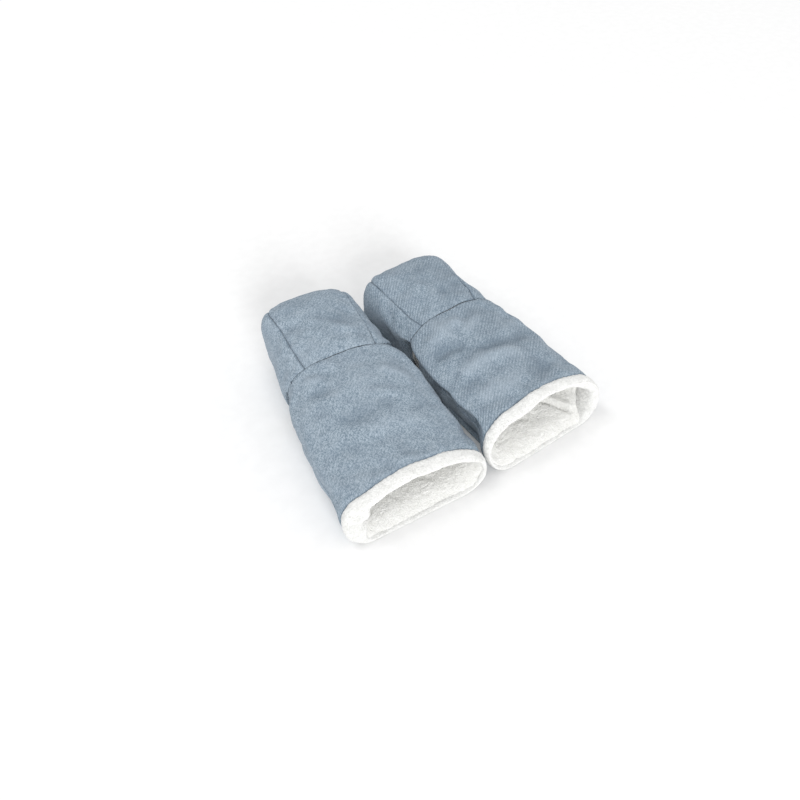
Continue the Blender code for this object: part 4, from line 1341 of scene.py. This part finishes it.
def tape_material():
    """Dark closure tape: woven ground with close rows of hooks or loops."""
    n = Nodes("Closure tape")
    at = n.place()
    rows = n.noise(at, 1 / 0.0008, 2.0, 0.6, flat=False)
    color = n.mix(n.span(rows, 0.38, 0.60), (0.085, 0.115, 0.150), (0.185, 0.230, 0.280))
    return n.surface(color, 0.72, n.bump(rows, 0.0006, 0.8), sheen=0.1, specular=0.35)


def thread_material():
    n = Nodes("Dark bartack thread and painted slot shade")
    # painted shade: the thread is near black, so each bar also stands in for the shade at the slot's upper end
    at = n.place()
    twist = n.noise(at, 1 / 0.0004, 2.0, 0.5, flat=False)
    color = n.mix(n.span(twist, 0.38, 0.62), (0.018, 0.028, 0.048), (0.055, 0.075, 0.105))
    return n.surface(color, 0.6, n.bump(twist, 0.0003, 0.6), sheen=0.1, specular=0.35)


def floor_material():
    n = Nodes("Pale floor")
    at = n.place()
    grain = n.noise(at, 60.0, 2.0, 0.5, flat=False)
    color = n.mix(n.span(grain, 0.3, 0.7), (0.905, 0.905, 0.905), (0.925, 0.925, 0.925))
    return n.surface(color, 0.95, specular=0.0)


# ----------------------------------------------------------------------
# Making the pair
# ----------------------------------------------------------------------
def make_mitt(side, mats, fields):
    pose = POSES[side]
    sleeve, hood = side + "_sleeve", side + "_hood"
    base = 100 if side == "left" else 200
    cloth = mats["cloth_" + side]
    bent = []

    top, _, _, _ = sleeve_cloth(side, "top", -3.0, 9.0, cloth, fields, base + 1)
    under, _, _, _ = sleeve_cloth(side, "under", 9.0, 21.0, cloth, fields, base + 11)
    bent += [(top, "sleeve", side + "_sleeve_top_panel", "outer_cloth", 0.6),
             (under, "sleeve", side + "_sleeve_under_panel", "outer_cloth", 0.6)]
    pad = tube_layer(side + "_sleeve_wadding_pad", side, PAD, D2, 5, 0.0036, mats["wadding"], fields)
    bent.append((pad, "sleeve", side + "_sleeve_wadding", "wadding", 0.6))
    plush = tube_layer(side + "_sleeve_plush", side, D3, D4, 13, 0.00135, mats["lining"], fields,
                       relief=lambda P: lining_relief(P, side, base + 31), first=0.0012, lip=0.0016, taper=0.0060)
    bent.append((plush, "sleeve", side + "_sleeve_lining", "plush", None))

    strip = strip_cloth(side, cloth, fields, base + 21)
    bent.append((strip, "hood", side + "_hood_panel", "outer_cloth", 0.65))
    for place in ("left", "right"):
        obj, kind = gusset_cloth(side, place, cloth, fields, base + (41 if place == "left" else 51))
        bent.append((obj, "hood", f"{side}_{kind}_gusset", "outer_cloth", 0.65))
    pad = pocket_layer(side + "_hood_wadding_pad", side, PAD, D2, 4, 0.0045, mats["wadding"])
    bent.append((pad, "hood", side + "_hood_wadding", "wadding", 0.65))
    lining = pocket_layer(side + "_hood_plush", side, D3, D4, 8, 0.0021, mats["lining"],
                          relief=lambda P: pile(P, base + 61), lip=0.0016)
    bent.append((lining, "hood", side + "_hood_lining", "plush", None))

    for obj, part, node, slot, fill in bent:
        turn_with_hood(obj, side)
        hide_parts(node)

    us = np.arange(0, 24, 1.0 / 20)
    P = cuff_points(us, pose)
    P = shape_fix(P, side)
    low = smooth((0.012 - P[..., 2]) / 0.006)
    h = pile(P, base + 71, 0.62) * (1.0 - 0.75 * low)
    P = P + torus_normals(P) * h[..., None]
    P[..., 2] = np.maximum(P[..., 2], 0.0)
    verts, faces = torus_mesh(P)
    roll = add_piece(side + "_cuff_plush", to_row(verts, pose), faces, mats["plush"])
    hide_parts(side + "_cuff_roll")
    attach(roll, sleeve)

    for name, z_low, body, node, bristle in (
            ("hook_tape_sewn", CLOTH + TAPE_T + 2.0 * GAP, sleeve, "hook_tape", 0),
            ("loop_tape_sewn", CLOTH + GAP, hood, "loop_tape", 1)):
        obj = tape_piece(f"{side}_{name}", side, z_low, mats["tape"], base + 81, bristle)
        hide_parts(f"{side}_{node}")
        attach(obj, body)

    for place in ("left", "right"):
        outboard = (place == "left") == (pose["x"] < 0.0)
        # the place on the outline at the slots' upper end
        grid = np.arange(6.0, 12.0, 0.02) if place == "left" else np.arange(18.0, 24.0, 0.02)
        gx, gz = section(grid, JOIN_Y, 0.0, 0.0, pose)
        level = {("left", True): 0.0665, ("left", False): 0.0733}.get((side, outboard), SLOT_TOP + 0.0006)
        k = int(np.argmin(np.abs(gz - level)))
        tangent = np.array([gx[k + 1] - gx[k - 1], 0.0, gz[k + 1] - gz[k - 1]])
        out_dir = np.array([abs(tangent[2]), 0.0, abs(tangent[0])]) * np.array([np.sign(gx[k]), 0.0, 1.0])
        out_dir = out_dir / np.linalg.norm(out_dir)
        centre = on_cloth(np.array([gx[k], JOIN_Y, gz[k]]), (top, under, strip), pose) - 0.0003 * out_dir
        obj = bartack(f"{side}_{'outer' if outboard else 'inner'}_bartack", side, centre, (0.0, 1.0, 0.0), out_dir, mats["thread"])
        turn_with_hood(obj, side)


def lining_relief(P, side, salt):
    """Pile of the lining and its few folds near the mouth."""
    h = pile(P, salt, 0.62) * (0.20 + 0.80 * smooth((P[..., 1] - 0.004) / 0.012))
    lower = smooth((0.034 - P[..., 2]) / 0.012)
    for a, b, height, width, bow in LINING_FOLDS[side]:
        h = h + crease(P, a, b, height, width, bow) * lower
    return h


LINING_FOLDS = {
    "left": [((0.010, 0.040), (0.034, 0.030), -0.0010, 0.0035, 0.1), ((-0.050, 0.046), (-0.022, 0.040), -0.0010, 0.0040, 0.1)],
    "right": [((0.034, 0.056), (0.049, 0.022), -0.0042, 0.0028, 0.05), ((0.041, 0.058), (0.056, 0.024), 0.0032, 0.0048, 0.05),
              ((0.008, 0.052), (0.014, 0.034), -0.0012, 0.0030, 0.1), ((-0.020, 0.048), (0.004, 0.044), -0.0012, 0.0034, 0.1)],
}

materials = {
    "cloth_left": cloth_material("left", 0.20),
    "cloth_right": cloth_material("right", 0.46),
    # two tones of the same off-white plush: the lining's is paler, painted light for the shaded inside of the mitt, and
    # the cuff roll's is darker, painted shade for its brightly lit band
    "plush": plush_material("Off-white plush cuff", (0.690, 0.692, 0.672), (0.845, 0.847, 0.834)),
    "lining": plush_material("Off-white plush lining", (0.880, 0.880, 0.850), (0.975, 0.974, 0.955)),
    "wadding": wadding_material(),
    "tape": tape_material(),
    "thread": thread_material(),
}

for mitt in ("left", "right"):
    simulated = swell_fields(mitt, POSES[mitt]) if SIM else None
    make_mitt(mitt, materials, simulated)

# ----------------------------------------------------------------------
# Floor, light and camera
# ----------------------------------------------------------------------
mesh = bpy.data.meshes.new("floor")
mesh.from_pydata([(-60, -60, -0.0004), (60, -60, -0.0004), (60, 60, -0.0004), (-60, 60, -0.0004)], [], [(0, 1, 2, 3)])
mesh.materials.append(floor_material())
floor = bpy.data.objects.new("floor", mesh)
bpy.context.scene.collection.objects.link(floor)

world = bpy.data.worlds.new("Studio")
bpy.context.scene.world = world
world.use_nodes = True
world.node_tree.nodes["Background"].inputs["Color"].default_value = (1.0, 1.0, 1.0, 1.0)
world.node_tree.nodes["Background"].inputs["Strength"].default_value = 0.74


def soft_light(name, where, aim, size, weight):
    """A square soft light whose weight is the part of a white floor's brightness that it gives at aim."""
    data = bpy.data.lights.new(name, "AREA")
    data.shape, data.size = "SQUARE", size
    d = np.array(where, float) - np.array(aim, float)
    dist = float(np.linalg.norm(d))
    data.energy = weight * math.pi ** 2 * dist ** 2 / (d[2] / dist)
    obj = bpy.data.objects.new(name, data)
    obj.location = where
    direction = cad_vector(aim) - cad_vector(where)
    obj.rotation_euler = direction.to_track_quat("-Z", "Y").to_euler()
    bpy.context.scene.collection.objects.link(obj)
    return obj


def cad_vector(v):
    from mathutils import Vector
    return Vector(v)


soft_light("key", (-3.40, 3.60, 7.90), (0.0, 0.0, 0.0), 3.2, 0.18)
soft_light("front", (-3.00, -12.90, 5.70), (0.0, 0.0, 0.0), 4.8, 0.235)

AZIMUTH, ELEVATION, DISTANCE = math.radians(-32.17), math.radians(46.53), 0.8308
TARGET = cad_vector((-0.0374, -0.0254, 0.04))
camera_data = bpy.data.cameras.new("camera")
camera_data.lens, camera_data.sensor_width = 32.4, 36.0
camera_data.clip_start, camera_data.clip_end = 0.01, 50.0
camera = bpy.data.objects.new("camera", camera_data)
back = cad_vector((math.sin(AZIMUTH) * math.cos(ELEVATION), -math.cos(AZIMUTH) * math.cos(ELEVATION), math.sin(ELEVATION)))
camera.location = TARGET + back * DISTANCE
camera.rotation_euler = (-back).to_track_quat("-Z", "Y").to_euler()
bpy.context.scene.collection.objects.link(camera)
bpy.context.scene.camera = camera
bpy.context.scene.view_settings.view_transform = "Standard"
bpy.context.scene.view_settings.look = "None"
